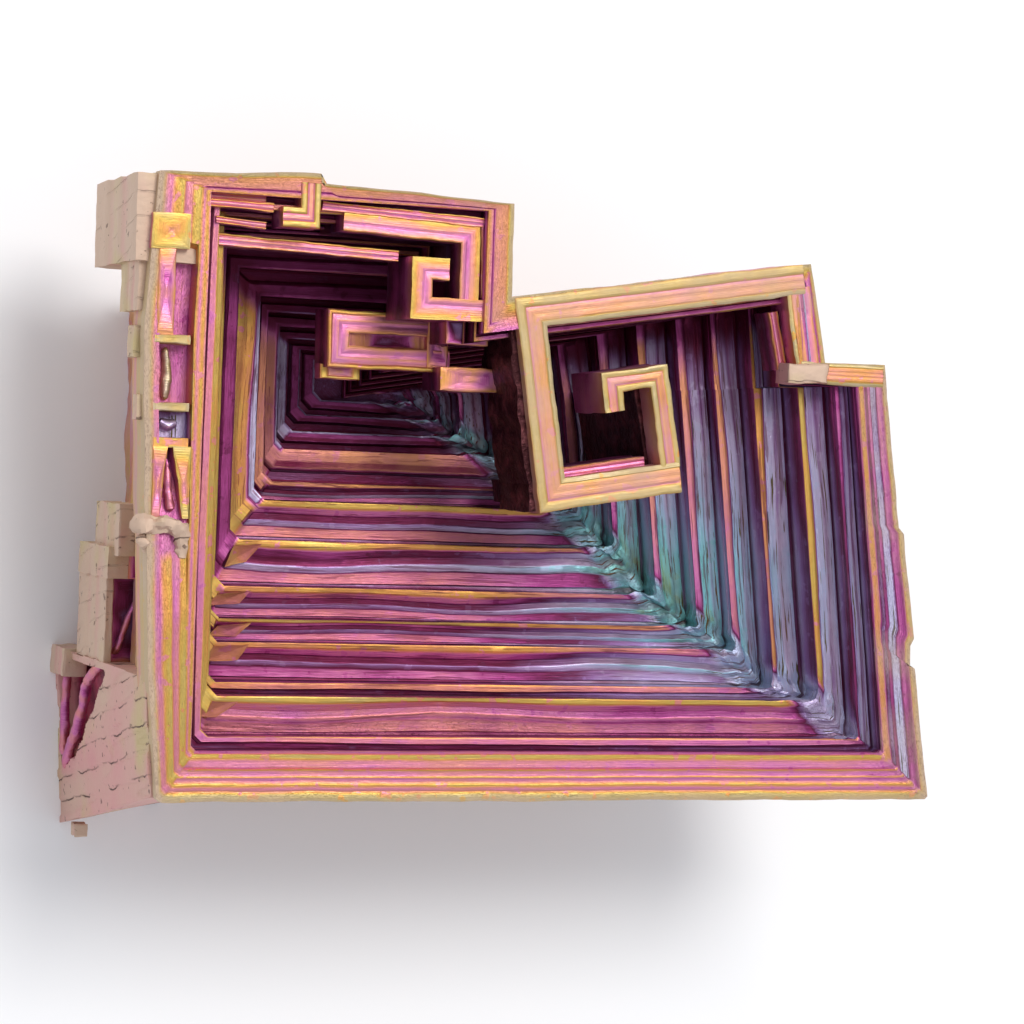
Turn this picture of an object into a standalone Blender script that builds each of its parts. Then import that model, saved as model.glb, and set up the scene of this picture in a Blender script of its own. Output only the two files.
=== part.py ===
"""Bismuth hopper crystal: stair-stepped pit, square spiral frame and corner hooks grown as one solid.

Plan dimensions are millimetres measured from a point in the middle of the open face, +X along the
long front rim and +Y towards the hooked back corner. Depths run down from the open face. The
finished crystal stands with the middle of its box on the origin.
"""
import math

import bmesh
import bpy

MM = 0.001
NAME = "bismuth_crystal"
COLOUR = (0.62, 0.30, 0.42, 1.0)
ROUGHNESS, METALLIC = 0.3, 0.9

# Overall
HEIGHT = 26.5                 # open face down to the face it rests on
REACH_LEFT, REACH_RIGHT = 27.3, 30.1
REACH_FRONT, REACH_BACK = 25.6, 20.0
CENTRE = ((REACH_RIGHT - REACH_LEFT) / 2, (REACH_BACK - REACH_FRONT) / 2)
FRAME_TURN = math.radians(9.5)   # the spiral frame grew turned against the main crystal
RIGHT_LEAN = 0.123            # the right wall swings out this much per mm towards the front

# Pit: one value per ledge, top ledge first
LEDGE_DEPTH = (0.0, 1.5, 3.0, 5.4, 7.5, 8.8, 10.5, 12.5, 14.0, 15.5, 17.0, 18.5, 20.0)
LEDGE_LEFT = (23.2, 22.0, 20.8, 19.7, 18.2, 17.4, 16.3, 15.0, 14.1, 13.5, 12.8, 12.0)
LEDGE_RIGHT = (25.0, 23.9, 21.8, 19.5, 17.5, 15.4, 13.1, 10.9, 8.5, 6.5, 4.0, 2.0)
LEDGE_FRONT = (17.5, 16.7, 14.2, 13.5, 11.0, 9.5, 7.4, 4.3, 1.6, 0.3, -2.0, -3.3)
LEDGE_BACK = (18.3, 16.3, 15.1, 14.4, 13.7, 13.1, 12.3, 10.7, 9.8, 9.0, 8.2, 7.4)
MITRES = (0.35, 0.5) + (1.2,) * 6 + (1.0,) * 4   # front corners of the pit, cut off at 45 degrees
RIGHT_AT = -7.0               # where LEDGE_RIGHT is measured, front to back
STEP_X, STEP_X_PER_LEDGE = -4.4, -0.25      # jog between the back-left bay and the right bay
BAY_BACK, BAY_BACK_PER_LEDGE = 12.3, -0.5   # back of the right bay, in the frame's own grid
LIP_WIDTH, LIP_HEIGHT = 0.36, 0.3
ABOVE = -1.0                  # cutters start this far above the open face

# Outside: the rim slab, then a stack of ledges stepping in under it
RIM_DEPTH = 3.4
RIM = ((-25.3, -20.8), (REACH_RIGHT, -20.8), (28.7, -11.6), (28.3, -11.5), (28.2, -9.6),
       (28.5, -9.5), (27.3, -1.9), (26.9, -1.8), (25.3, 9.5), (20.7, 9.4), (19.3, 16.2),
       (-2.5, 12.7), (-2.6, 18.9), (-15.9, 19.4), (-15.95, REACH_BACK), (-26.6, 19.4),
       (-REACH_LEFT, 9.0), (-26.8, -2.0), (-26.1, -13.0))
BODY = ((-26.0, -20.7), (29.8, -20.7), (25.0, 9.3), (20.5, 9.2), (19.1, 15.9), (-2.6, 12.5),
        (-2.7, 18.6), (-26.4, 19.1))
BODY_DEPTHS = (6.4, 9.7, 12.9, 16.0, 19.4, 22.9, HEIGHT)
BODY_INSETS = (               # front, right, bay back, bay side, frame back, jog, back, left
    (0.5, 0.7, 0.7, 0.7, 0.5, 0.2, 0.5, 0.7),
    (1.4, 1.7, 1.4, 1.7, 1.1, 0.5, 1.2, 1.3),
    (2.4, 2.9, 2.3, 2.9, 1.9, 0.8, 2.1, 1.9),
    (3.6, 4.3, 3.2, 4.3, 2.6, 1.1, 3.2, 2.5),
    (4.7, 5.8, 4.2, 5.8, 3.3, 1.5, 4.3, 3.1),
    (6.0, 7.6, 5.4, 7.6, 4.0, 1.8, 5.6, 3.7),
    (7.2, 9.0, 6.6, 9.0, 4.5, 2.0, 6.8, 4.2))

# Growths down the left side: x from, x to, y from, y to, top, bottom
LEFT_BLOCKS = ((-26.8, -22.0, 13.7, 19.2, 1.0, 12.6), (-26.7, -22.0, 9.6, 14.1, 1.2, 6.2),
               (-25.3, -20.5, -5.3, -2.1, 11.0, 18.2), (-26.0, -19.5, -11.4, -5.0, 12.2, 21.5))
CORNER_TOP = ((-25.6, -20.6), (-22.0, -20.6), (-18.0, -20.5), (-16.5, -18.0), (-16.5, -12.9),
              (-26.0, -12.9))
CORNER_FOOT = ((-25.9, -REACH_FRONT), (-21.5, -24.8), (-17.0, -24.0), (-15.5, -19.0),
               (-15.5, -12.9), (-26.6, -12.9))
CORNER_HOLLOWS = ((-29.0, -24.9, -21.4, -14.2, 15.2, 24.2), (-29.0, -24.6, -18.5, -11.9, 8.6, 15.9))
RIDGE = ((-12.4, -12.0), (-15.8, -16.4), (-21.0, -22.4))     # y and height along the hollow
RIDGE_WIDTH, RIDGE_X = 0.8, (-25.9, -24.0)

# Grooves along the rim: left x, front y, right x at RIGHT_AT
RIM_GROOVES = ((-23.8, -18.3, 25.6), (-24.4, -19.1, 26.2), (-25.1, -19.9, 26.8))
GROOVE_WIDTH, GROOVE_DEPTH, GROOVE_BACK = 0.3, 0.32, (-3.2, 7.4)
# Hollows in the left rim: x from, x to, y from, y to, top, depth
RIM_HOLLOWS = ((-25.0, -24.2, 9.3, 14.4, ABOVE, 1.4), (-26.4, -24.1, 16.8, 17.5, ABOVE, 0.8),
               (-26.2, -24.5, 5.0, 8.5, ABOVE, 1.6), (-26.3, -24.4, 2.7, 4.3, ABOVE, 1.5))
LEFT_NOTCH = ((-25.7, 2.1), (-24.5, 2.1), (-24.4, -2.4))
SIDE_SLIT = ((-3.9, 17.8), (-3.2, 17.6), (-3.5, 14.8))
NOTCH_DEPTH, SLIT_DEPTH = 1.6, 1.4

# Spiral frame, in its own grid from its front-left corner
FRAME_AT = (0.1, -1.5)
FRAME_BAR, FRAME_DEPTH = 1.9, 5.6
FRAME_PATH = ((21.2, 13.4), (0.95, 13.4), (0.95, 0.95), (9.6, 0.95), (9.4, 7.75), (6.45, 7.75),
              (6.45, 5.9))
WELL_PATH, WELL_BAR = ((1.5, 0.9), (9.7, 0.9), (9.4, 7.3)), 1.6
WELL_TOP, WELL_DEPTH = 2.2, 13.2
FRAME_LEDGES = (((1.9, 12.2), (20.3, 12.2)), ((1.8, 2.2), (8.5, 2.2)))
FRAME_LEDGE_WIDTH, FRAME_LEDGE_TOP, FRAME_LEDGE_FOOT = 0.9, 1.5, 5.2
# Rough growth on the outer left wall of the frame: u from, u to, v from, v to, top, bottom
FRAME_CRUST = ((-0.45, 0.3, 0.3, 14.0, 0.9, 6.3), (-0.9, 0.5, 1.1, 5.2, 2.6, 6.9),
               (-0.8, 0.7, 6.4, 9.6, 1.8, 7.4), (-1.2, 0.9, 10.3, 12.9, 3.3, 6.1),
               (-1.5, -0.1, 0.5, 2.3, 3.9, 6.0))

# Bars of the back-left bay that end in square hooks: path, width, top, bottom
HOOKS = (
    (((-16.6, 19.3), (-16.6, 17.05), (-18.45, 17.05)), 1.3, 0.0, 2.7),
    (((-24.7, 17.75), (-18.9, 17.6)), 0.55, 0.7, 2.1),
    (((-22.6, 16.65), (-19.3, 16.45)), 0.45, 1.0, 3.5),
    (((-14.1, 17.15), (-5.3, 16.8), (-5.3, 11.6)), 1.25, 0.8, 6.2),
    (((-6.85, 14.4), (-8.75, 14.4), (-8.75, 11.6), (-4.2, 11.6)), 1.2, 0.4, 5.7),
    (((-4.3, 11.0), (-12.5, 11.0), (-12.5, 8.2), (-4.5, 8.2)), 1.15, 6.6, 9.6))
# Square blocks beside them: x from, x to, y from, y to, top, bottom
BLOCKS = ((-6.1, -4.0, 7.9, 11.3, 6.9, 10.2), (-13.3, -10.5, 6.9, 7.9, 7.6, 8.9),
          (-6.0, -3.0, 9.5, 11.1, 3.1, 7.2), (-5.7, -0.9, 6.4, 8.0, 4.8, 8.6))
# Walls that close the right bay behind and beside the frame
BAY_WALLS = ((((18.3, 15.0), (19.5, 8.6)), 1.75, 0.0, 9.0),
             (((18.9, 8.7), (25.2, 8.7)), 1.5, 0.0, 8.0))


def inset(outline, distances):
    """Move each side of a polygon inwards by its own distance."""
    lines = []
    for index, start in enumerate(outline):
        end = outline[(index + 1) % len(outline)]
        dx, dy = end[0] - start[0], end[1] - start[1]
        length = math.hypot(dx, dy)
        nx, ny = -dy / length, dx / length
        lines.append((nx, ny, nx * start[0] + ny * start[1] + distances[index]))
    moved = []
    for (a1, b1, c1), (a2, b2, c2) in zip(lines[-1:] + lines[:-1], lines):
        det = a1 * b2 - a2 * b1
        moved.append(((c1 * b2 - c2 * b1) / det, (a1 * c2 - a2 * c1) / det))
    return tuple(moved)


def from_frame(point):
    """Turn a point of the spiral frame's grid into the crystal's plan."""
    u, v = point
    cos, sin = math.cos(FRAME_TURN), math.sin(FRAME_TURN)
    return FRAME_AT[0] + u * cos - v * sin, FRAME_AT[1] + u * sin + v * cos


def place(point):
    """Millimetres in plan, height above the open face, to metres in the finished frame."""
    x, y, z = point
    return (x - CENTRE[0]) * MM, (y - CENTRE[1]) * MM, (z + HEIGHT) * MM


def loft(rings):
    """Pull a face through a stack of outlines, each with the same number of 3-D points."""
    bm = bmesh.new()
    first = [bm.verts.new(place(point)) for point in rings[0]]
    face = bm.faces.new(first)
    for ring in rings[1:]:
        face = bmesh.ops.extrude_discrete_faces(bm, faces=[face])["faces"][0]
        for vert, point in zip(face.verts, ring):
            vert.co = place(point)
    bm.faces.new(first[::-1])
    bmesh.ops.connect_verts_nonplanar(bm, angle_limit=0.001, faces=bm.faces)
    bmesh.ops.recalc_face_normals(bm, faces=bm.faces)
    mesh = bpy.data.meshes.new("piece")
    bm.to_mesh(mesh)
    bm.free()
    piece = bpy.data.objects.new("piece", mesh)
    bpy.context.scene.collection.objects.link(piece)
    return piece


def level(outline, depth):
    """Lay a plan outline at one depth."""
    return [(x, y, -depth) for x, y in outline]


def prism(outline, top, bottom):
    """A straight-sided block between two depths."""
    return loft((level(outline, top), level(outline, bottom)))


def box(x_from, x_to, y_from, y_to, top, bottom):
    """A square block."""
    return prism(((x_from, y_from), (x_to, y_from), (x_to, y_to), (x_from, y_to)), top, bottom)


def band(path, width):
    """Outline of a strip that follows a path with square corners."""
    normals = []
    for start, end in zip(path, path[1:]):
        length = math.dist(start, end)
        normals.append(((start[1] - end[1]) / length, (end[0] - start[0]) / length))
    left, right = [], []
    for point, before, after in zip(path, normals[:1] + normals, normals + normals[-1:]):
        nx, ny = before[0] + after[0], before[1] + after[1]
        reach = width / 2 / (nx * before[0] + ny * before[1])
        left.append((point[0] + nx * reach, point[1] + ny * reach))
        right.append((point[0] - nx * reach, point[1] - ny * reach))
    return tuple(right + left[::-1])


def bar(path, width, top, bottom):
    """A wall that follows a path."""
    return prism(band(path, width), top, bottom)


def combine(target, tool, operation):
    """Apply one Boolean and drop the tool."""
    modifier = target.modifiers.new(operation, "BOOLEAN")
    modifier.operation, modifier.solver, modifier.object = operation, "EXACT", tool
    modifier.use_self = True
    shaped = target.evaluated_get(bpy.context.evaluated_depsgraph_get())
    mesh = bpy.data.meshes.new_from_object(shaped)
    target.modifiers.clear()
    old, target.data = target.data, mesh
    bpy.data.meshes.remove(old)
    bpy.data.objects.remove(tool)


def add(target, tool):
    """Grow a piece onto the crystal."""
    combine(target, tool, "UNION")


def cut(target, tool):
    """Take a piece out of the crystal."""
    combine(target, tool, "DIFFERENCE")


def opening(ledge, grow=0.0):
    """Plan of the pit inside one ledge, grown outwards for the back of its lip."""
    mitre = MITRES[ledge]
    left, front = -LEDGE_LEFT[ledge] - grow, -LEDGE_FRONT[ledge] - grow
    right, back = LEDGE_RIGHT[ledge] + grow, LEDGE_BACK[ledge] + grow
    step = STEP_X + STEP_X_PER_LEDGE * ledge + grow
    bay_x, bay_y = from_frame((0.0, BAY_BACK + BAY_BACK_PER_LEDGE * ledge + grow))
    slope = math.tan(FRAME_TURN)

    def right_wall(y):
        return right - RIGHT_LEAN * (y - RIGHT_AT)

    def bay_back(x):
        return bay_y + (x - bay_x) * slope

    # where the leaning right wall meets the turned back of the bay
    corner = right_wall(bay_back(0.0)) / (1 + RIGHT_LEAN * slope)
    return ((left, front + mitre), (left + mitre, front), (right_wall(front) - mitre, front),
            (right_wall(front + mitre), front + mitre), (corner, bay_back(corner)),
            (step, bay_back(step)), (step, back), (left, back))


def pit():
    """The stepped hollow: every ledge below the rim carries a raised lip on its inner edge."""
    rings = [level(opening(0), ABOVE)]
    last = len(LEDGE_RIGHT) - 1
    for ledge in range(last + 1):
        foot = LEDGE_DEPTH[ledge + 1]
        rings.append(level(opening(ledge), foot))
        if ledge < last:
            rings.append(level(opening(ledge + 1, LIP_WIDTH), foot))
            rings.append(level(opening(ledge + 1, LIP_WIDTH), foot - LIP_HEIGHT))
            rings.append(level(opening(ledge + 1), foot - LIP_HEIGHT))
    return loft(rings)


def body():
    """Rim slab over a stack of ledges that step inwards down to the resting face."""
    crystal = prism(RIM, 0.0, RIM_DEPTH)
    rings, top = [], RIM_DEPTH - LIP_HEIGHT
    for distances, bottom in zip(BODY_INSETS, BODY_DEPTHS):
        outline = inset(BODY, distances)
        rings += [level(outline, top), level(outline, bottom)]
        top = bottom
    add(crystal, loft(rings))
    return crystal


def left_growths(crystal):
    """Blocks that step outwards down the left side, the corner one hollowed with a ridge in it."""
    for block in LEFT_BLOCKS:
        add(crystal, box(*block))
    add(crystal, loft((level(CORNER_TOP, LIP_HEIGHT * 3), level(CORNER_FOOT, HEIGHT))))
    for hollow in CORNER_HOLLOWS:
        cut(crystal, box(*hollow))
    strip = band(RIDGE, RIDGE_WIDTH)
    add(crystal, loft([[(x, y, z) for y, z in strip] for x in RIDGE_X]))


def frame(crystal):
    """The square spiral: top, left, front and right bars, the hook inside and the rough crust."""
    add(crystal, bar([from_frame(point) for point in FRAME_PATH], FRAME_BAR, 0.0, FRAME_DEPTH))
    add(crystal, bar([from_frame(point) for point in WELL_PATH], WELL_BAR, WELL_TOP, WELL_DEPTH))
    for path in FRAME_LEDGES:
        add(crystal, bar([from_frame(point) for point in path], FRAME_LEDGE_WIDTH,
                         FRAME_LEDGE_TOP, FRAME_LEDGE_FOOT))
    for u_from, u_to, v_from, v_to, top, bottom in FRAME_CRUST:
        corners = ((u_from, v_from), (u_to, v_from), (u_to, v_to), (u_from, v_to))
        add(crystal, prism([from_frame(point) for point in corners], top, bottom))


def hooks(crystal):
    """The square-ended bars and blocks of the back-left bay, and the walls of the right bay."""
    for path, width, top, bottom in HOOKS + BAY_WALLS:
        add(crystal, bar(path, width, top, bottom))
    for block in BLOCKS:
        add(crystal, box(*block))


def rim_relief(crystal):
    """Growth grooves round the front of the rim and the hollows in its left side."""
    back_left, back_right = GROOVE_BACK
    for left, front, right in RIM_GROOVES:
        corner = right - RIGHT_LEAN * (front - RIGHT_AT)
        end = right - RIGHT_LEAN * (back_right - RIGHT_AT)
        path = ((left, back_left), (left, front), (corner, front), (end, back_right))
        cut(crystal, bar(path, GROOVE_WIDTH, ABOVE, GROOVE_DEPTH))
    for hollow in RIM_HOLLOWS:
        cut(crystal, box(*hollow))
    cut(crystal, prism(LEFT_NOTCH, ABOVE, NOTCH_DEPTH))
    cut(crystal, prism(SIDE_SLIT, ABOVE, SLIT_DEPTH))


def finish(crystal):
    """Name the crystal and give it its metal."""
    crystal.name = NAME
    crystal.data.name = NAME
    material = bpy.data.materials.new(NAME)
    material.use_nodes = True
    shader = material.node_tree.nodes["Principled BSDF"]
    shader.inputs["Base Color"].default_value = COLOUR
    shader.inputs["Roughness"].default_value = ROUGHNESS
    shader.inputs["Metallic"].default_value = METALLIC
    crystal.data.materials.clear()
    crystal.data.materials.append(material)


def main():
    for item in list(bpy.data.objects):
        bpy.data.objects.remove(item)
    crystal = body()
    left_growths(crystal)
    cut(crystal, pit())
    frame(crystal)
    hooks(crystal)
    rim_relief(crystal)
    finish(crystal)


main()
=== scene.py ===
"""Looks of the bismuth hopper crystal: fine ledges, bars and blocks under a rainbow oxide film.

Lengths are millimetres on the crystal's own plan (the open face at height 0, depths negative) until
``to_frame`` turns them into the frame's metres.
"""

from __future__ import annotations

import logging
import math
from collections.abc import Sequence
from dataclasses import dataclass, field
from enum import Enum, IntEnum

import bmesh
import bpy
import numpy as np
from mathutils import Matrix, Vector, noise


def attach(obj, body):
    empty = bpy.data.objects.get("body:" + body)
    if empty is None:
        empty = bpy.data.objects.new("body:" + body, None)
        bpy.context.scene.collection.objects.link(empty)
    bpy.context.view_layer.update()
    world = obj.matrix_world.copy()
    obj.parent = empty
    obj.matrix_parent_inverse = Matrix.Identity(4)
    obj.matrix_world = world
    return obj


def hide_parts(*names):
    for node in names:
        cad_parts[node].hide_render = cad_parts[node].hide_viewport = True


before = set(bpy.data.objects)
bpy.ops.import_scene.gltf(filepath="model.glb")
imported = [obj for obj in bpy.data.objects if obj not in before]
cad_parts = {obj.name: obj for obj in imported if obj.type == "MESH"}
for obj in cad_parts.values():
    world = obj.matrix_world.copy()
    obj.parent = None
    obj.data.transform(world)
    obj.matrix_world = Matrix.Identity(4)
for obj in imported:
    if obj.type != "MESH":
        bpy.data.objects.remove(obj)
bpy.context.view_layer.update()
NODE = "bismuth_crystal"
LOG = logging.getLogger("hopper")

# From the resting face up to the open face, and how far the crystal reaches on each side of the plan's origin.
HEIGHT = 26.5
REACH_LEFT, REACH_RIGHT, REACH_FRONT, REACH_BACK = 27.3, 30.1, 25.6, 20.0
CENTRE_X, CENTRE_Y = (REACH_RIGHT - REACH_LEFT) / 2, (REACH_BACK - REACH_FRONT) / 2
# The spiral frame grew turned against the rest, from its own front-left corner.
FRAME_TURN = math.radians(9.5)
FRAME_AT = (0.1, -1.5)
# The right wall leans this far in X per millimetre of Y, and its given place holds at this Y.
RIGHT_LEAN, RIGHT_AT = 0.123, -7.0

Point = tuple[float, float]
Colour = tuple[int, int, int]


class Film(float, Enum):
    """Thickness of the oxide film, named by the colour it shows."""

    SILVER = 0.0
    STRAW = 1.0
    YELLOW = 2.0
    GOLD = 2.6
    PEACH = 3.3
    PINK = 4.2
    ORCHID = 4.7
    MAGENTA = 5.1
    PLUM = 6.0
    VIOLET = 7.0
    LAVENDER = 8.0
    BLUE = 9.0
    TEAL = 10.0
    MINT = 11.0


FILM_SPAN = float(Film.MINT)
THICKEST = 10.9
SHARP_ANGLE = math.radians(28)


def to_frame(points: np.ndarray) -> np.ndarray:
    """Turn plan millimetres into the frame's metres.

    Args:
        points: Array whose last axis is x, y, height.

    Returns:
        The same points in metres in the frame.
    """
    return (points - np.array((CENTRE_X, CENTRE_Y, -HEIGHT))) * 0.001


def from_spiral(point: Point) -> Point:
    """Turn a point of the spiral frame's own grid into the crystal's plan.

    Args:
        point: Distances along and across the frame from its front-left corner.

    Returns:
        The point on the crystal's plan.
    """
    u, v = point
    cos, sin = math.cos(FRAME_TURN), math.sin(FRAME_TURN)
    return FRAME_AT[0] + u * cos - v * sin, FRAME_AT[1] + u * sin + v * cos


def smoothstep(low: float, high: float, value: np.ndarray) -> np.ndarray:
    """Ease from 0 at low to 1 at high.

    Args:
        low: Where the ease starts.
        high: Where the ease ends.
        value: Numbers to ease.

    Returns:
        The eased numbers, between 0 and 1.
    """
    share = np.clip((value - low) / (high - low), 0.0, 1.0)
    return share * share * (3 - 2 * share)


def ripple(points: np.ndarray, length: float, seed: float) -> np.ndarray:
    """Smooth noise read at plan points.

    Args:
        points: Array of x, y or x, y, height rows.
        length: Millimetres from one ripple to the next.
        seed: Picks the pattern.

    Returns:
        One value per point, about -1 to 1.
    """
    flat = points.reshape(-1, points.shape[-1]) / length
    heights = flat[:, 2] if flat.shape[1] > 2 else np.zeros(len(flat))
    values = [noise.noise(Vector((x + seed * 7.3, y - seed * 3.1, z + seed)))
              for (x, y), z in zip(flat[:, :2], heights)]
    return np.array(values).reshape(points.shape[:-1])


def steppy(values: np.ndarray, steps: float, share: float = 0.75) -> np.ndarray:
    """Pull smooth values towards a few flat levels, as growth edges jump.

    Args:
        values: Smooth values.
        steps: Levels per unit.
        share: How far the values are pulled.

    Returns:
        The stepped values.
    """
    return values * (1 - share) + np.round(values * steps) / steps * share


# ---------------------------------------------------------------------------------------------
# Finishes
# ---------------------------------------------------------------------------------------------


@dataclass
class Wire:
    """A material being drawn: makes nodes and hands back their outputs as maths."""

    material: bpy.types.Material

    @classmethod
    def start(cls, name: str) -> Wire:
        """Start a new material.

        Args:
            name: Name of the material.

        Returns:
            What draws it.
        """
        material = bpy.data.materials.new(name)
        material.use_nodes = True
        material.node_tree.nodes.clear()
        return cls(material)

    def node(self, kind: str, settings: dict | None = None, inputs: dict | None = None) -> bpy.types.Node:
        """Add a node.

        Args:
            kind: Blender's type name of the node.
            settings: Properties set before the inputs.
            inputs: Values or outputs for its sockets, by name or number.

        Returns:
            The node.
        """
        made = self.material.node_tree.nodes.new(kind)
        for name, value in (settings or {}).items():
            setattr(made, name, value)
        for name, value in (inputs or {}).items():
            self.join(value, made.inputs[name])
        return made

    def join(self, value: object, socket: bpy.types.NodeSocket) -> None:
        """Link an output or set a value.

        Args:
            value: A signal, an output socket or a plain value.
            socket: Socket that gets it.
        """
        source = value.socket if isinstance(value, Signal) else value
        if isinstance(source, bpy.types.NodeSocket):
            self.material.node_tree.links.new(source, socket)
        else:
            socket.default_value = source

    def maths(self, operation: str, *values: object) -> Signal:
        """Add a Math node.

        Args:
            operation: Its operation.
            values: Its inputs in order.

        Returns:
            Its output.
        """
        made = self.node("ShaderNodeMath", {"operation": operation}, dict(enumerate(values)))
        return Signal(self, made.outputs[0])

    def attribute(self, name: str) -> Signal:
        """Read one of the values that the mesh carries."""
        return Signal(self, self.node("ShaderNodeAttribute", {"attribute_name": name}).outputs["Fac"])

    def stretch(self, place: bpy.types.NodeSocket, along: float, across: float) -> bpy.types.NodeSocket:
        """Scale the grain map along and across the growth."""
        return self.node("ShaderNodeMapping", {}, {"Vector": place, "Scale": (along, across, 1.0)}).outputs[0]

    def noise(self, place: bpy.types.NodeSocket, scale: float, detail: float, distortion: float = 0.0,
              roughness: float = 0.5) -> Signal:
        """Add noise.

        Args:
            place: Where it is read.
            scale: Its scale.
            detail: Its detail.
            distortion: How far it is twisted.
            roughness: How strong its finest detail is.

        Returns:
            The noise, about 0 to 1.
        """
        made = self.node("ShaderNodeTexNoise", {}, {
            "Vector": place, "Scale": scale, "Detail": detail, "Distortion": distortion, "Roughness": roughness})
        return Signal(self, made.outputs["Fac"])

    def mix(self, share: Signal, one: object, other: object) -> bpy.types.NodeSocket:
        """Blend two colours by a share."""
        return self.node("ShaderNodeMix", {"data_type": "RGBA"}, {0: share, 6: one, 7: other}).outputs[2]

    def bump(self, height: Signal, strength: float, distance: float) -> bpy.types.NodeSocket:
        """Turn a height into a bumped normal."""
        return self.node("ShaderNodeBump", {}, {
            "Strength": strength, "Distance": distance, "Height": height}).outputs[0]

    def close(self, inputs: dict) -> bpy.types.Material:
        """Feed the shader and end the material.

        Args:
            inputs: Values or outputs for the shader's sockets, by name.

        Returns:
            The finished material.
        """
        shader = self.node("ShaderNodeBsdfPrincipled", {}, inputs)
        self.node("ShaderNodeOutputMaterial", {}, {"Surface": shader.outputs[0]})
        return self.material


@dataclass
class Signal:
    """A number flowing through the material, written as Python maths."""

    wire: Wire
    socket: bpy.types.NodeSocket

    def __add__(self, other: object) -> Signal:
        """Add."""
        return self.wire.maths("ADD", self, other)

    def __radd__(self, other: object) -> Signal:
        """Add from the left."""
        return self.wire.maths("ADD", other, self)

    def __sub__(self, other: object) -> Signal:
        """Subtract."""
        return self.wire.maths("SUBTRACT", self, other)

    def __rsub__(self, other: object) -> Signal:
        """Subtract from the left."""
        return self.wire.maths("SUBTRACT", other, self)

    def __mul__(self, other: object) -> Signal:
        """Multiply."""
        return self.wire.maths("MULTIPLY", self, other)

    def __rmul__(self, other: object) -> Signal:
        """Multiply from the left."""
        return self.wire.maths("MULTIPLY", other, self)

    def __truediv__(self, other: object) -> Signal:
        """Divide."""
        return self.wire.maths("DIVIDE", self, other)

    def most(self, other: Signal) -> Signal:
        """The larger of two numbers."""
        return self.wire.maths("MAXIMUM", self, other)

    def clamp(self, low: float = 0.0, high: float = 1.0) -> Signal:
        """Hold between two values."""
        return self.wire.maths("MINIMUM", self.wire.maths("MAXIMUM", self, low), high)

    def triangle(self) -> Signal:
        """Rise from 0 to 1 and fall back, once per unit."""
        return self.wire.maths("PINGPONG", self * 2.0, 1.0)

    def band(self, low: float, high: float) -> Signal:
        """Ramp from 0 at low to 1 at high."""
        return ((self - low) / (high - low)).clamp()


def linear(red: int, green: int, blue: int) -> tuple[float, float, float, float]:
    """Turn a display colour into a linear one.

    Args:
        red: Red, 0 to 255.
        green: Green, 0 to 255.
        blue: Blue, 0 to 255.

    Returns:
        Linear red, green, blue and an alpha of 1.
    """
    def channel(value: int) -> float:
        """Turn one channel linear."""
        share = value / 255
        return share / 12.92 if share <= 0.04045 else ((share + 0.055) / 1.055) ** 2.4

    return channel(red), channel(green), channel(blue), 1.0


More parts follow.
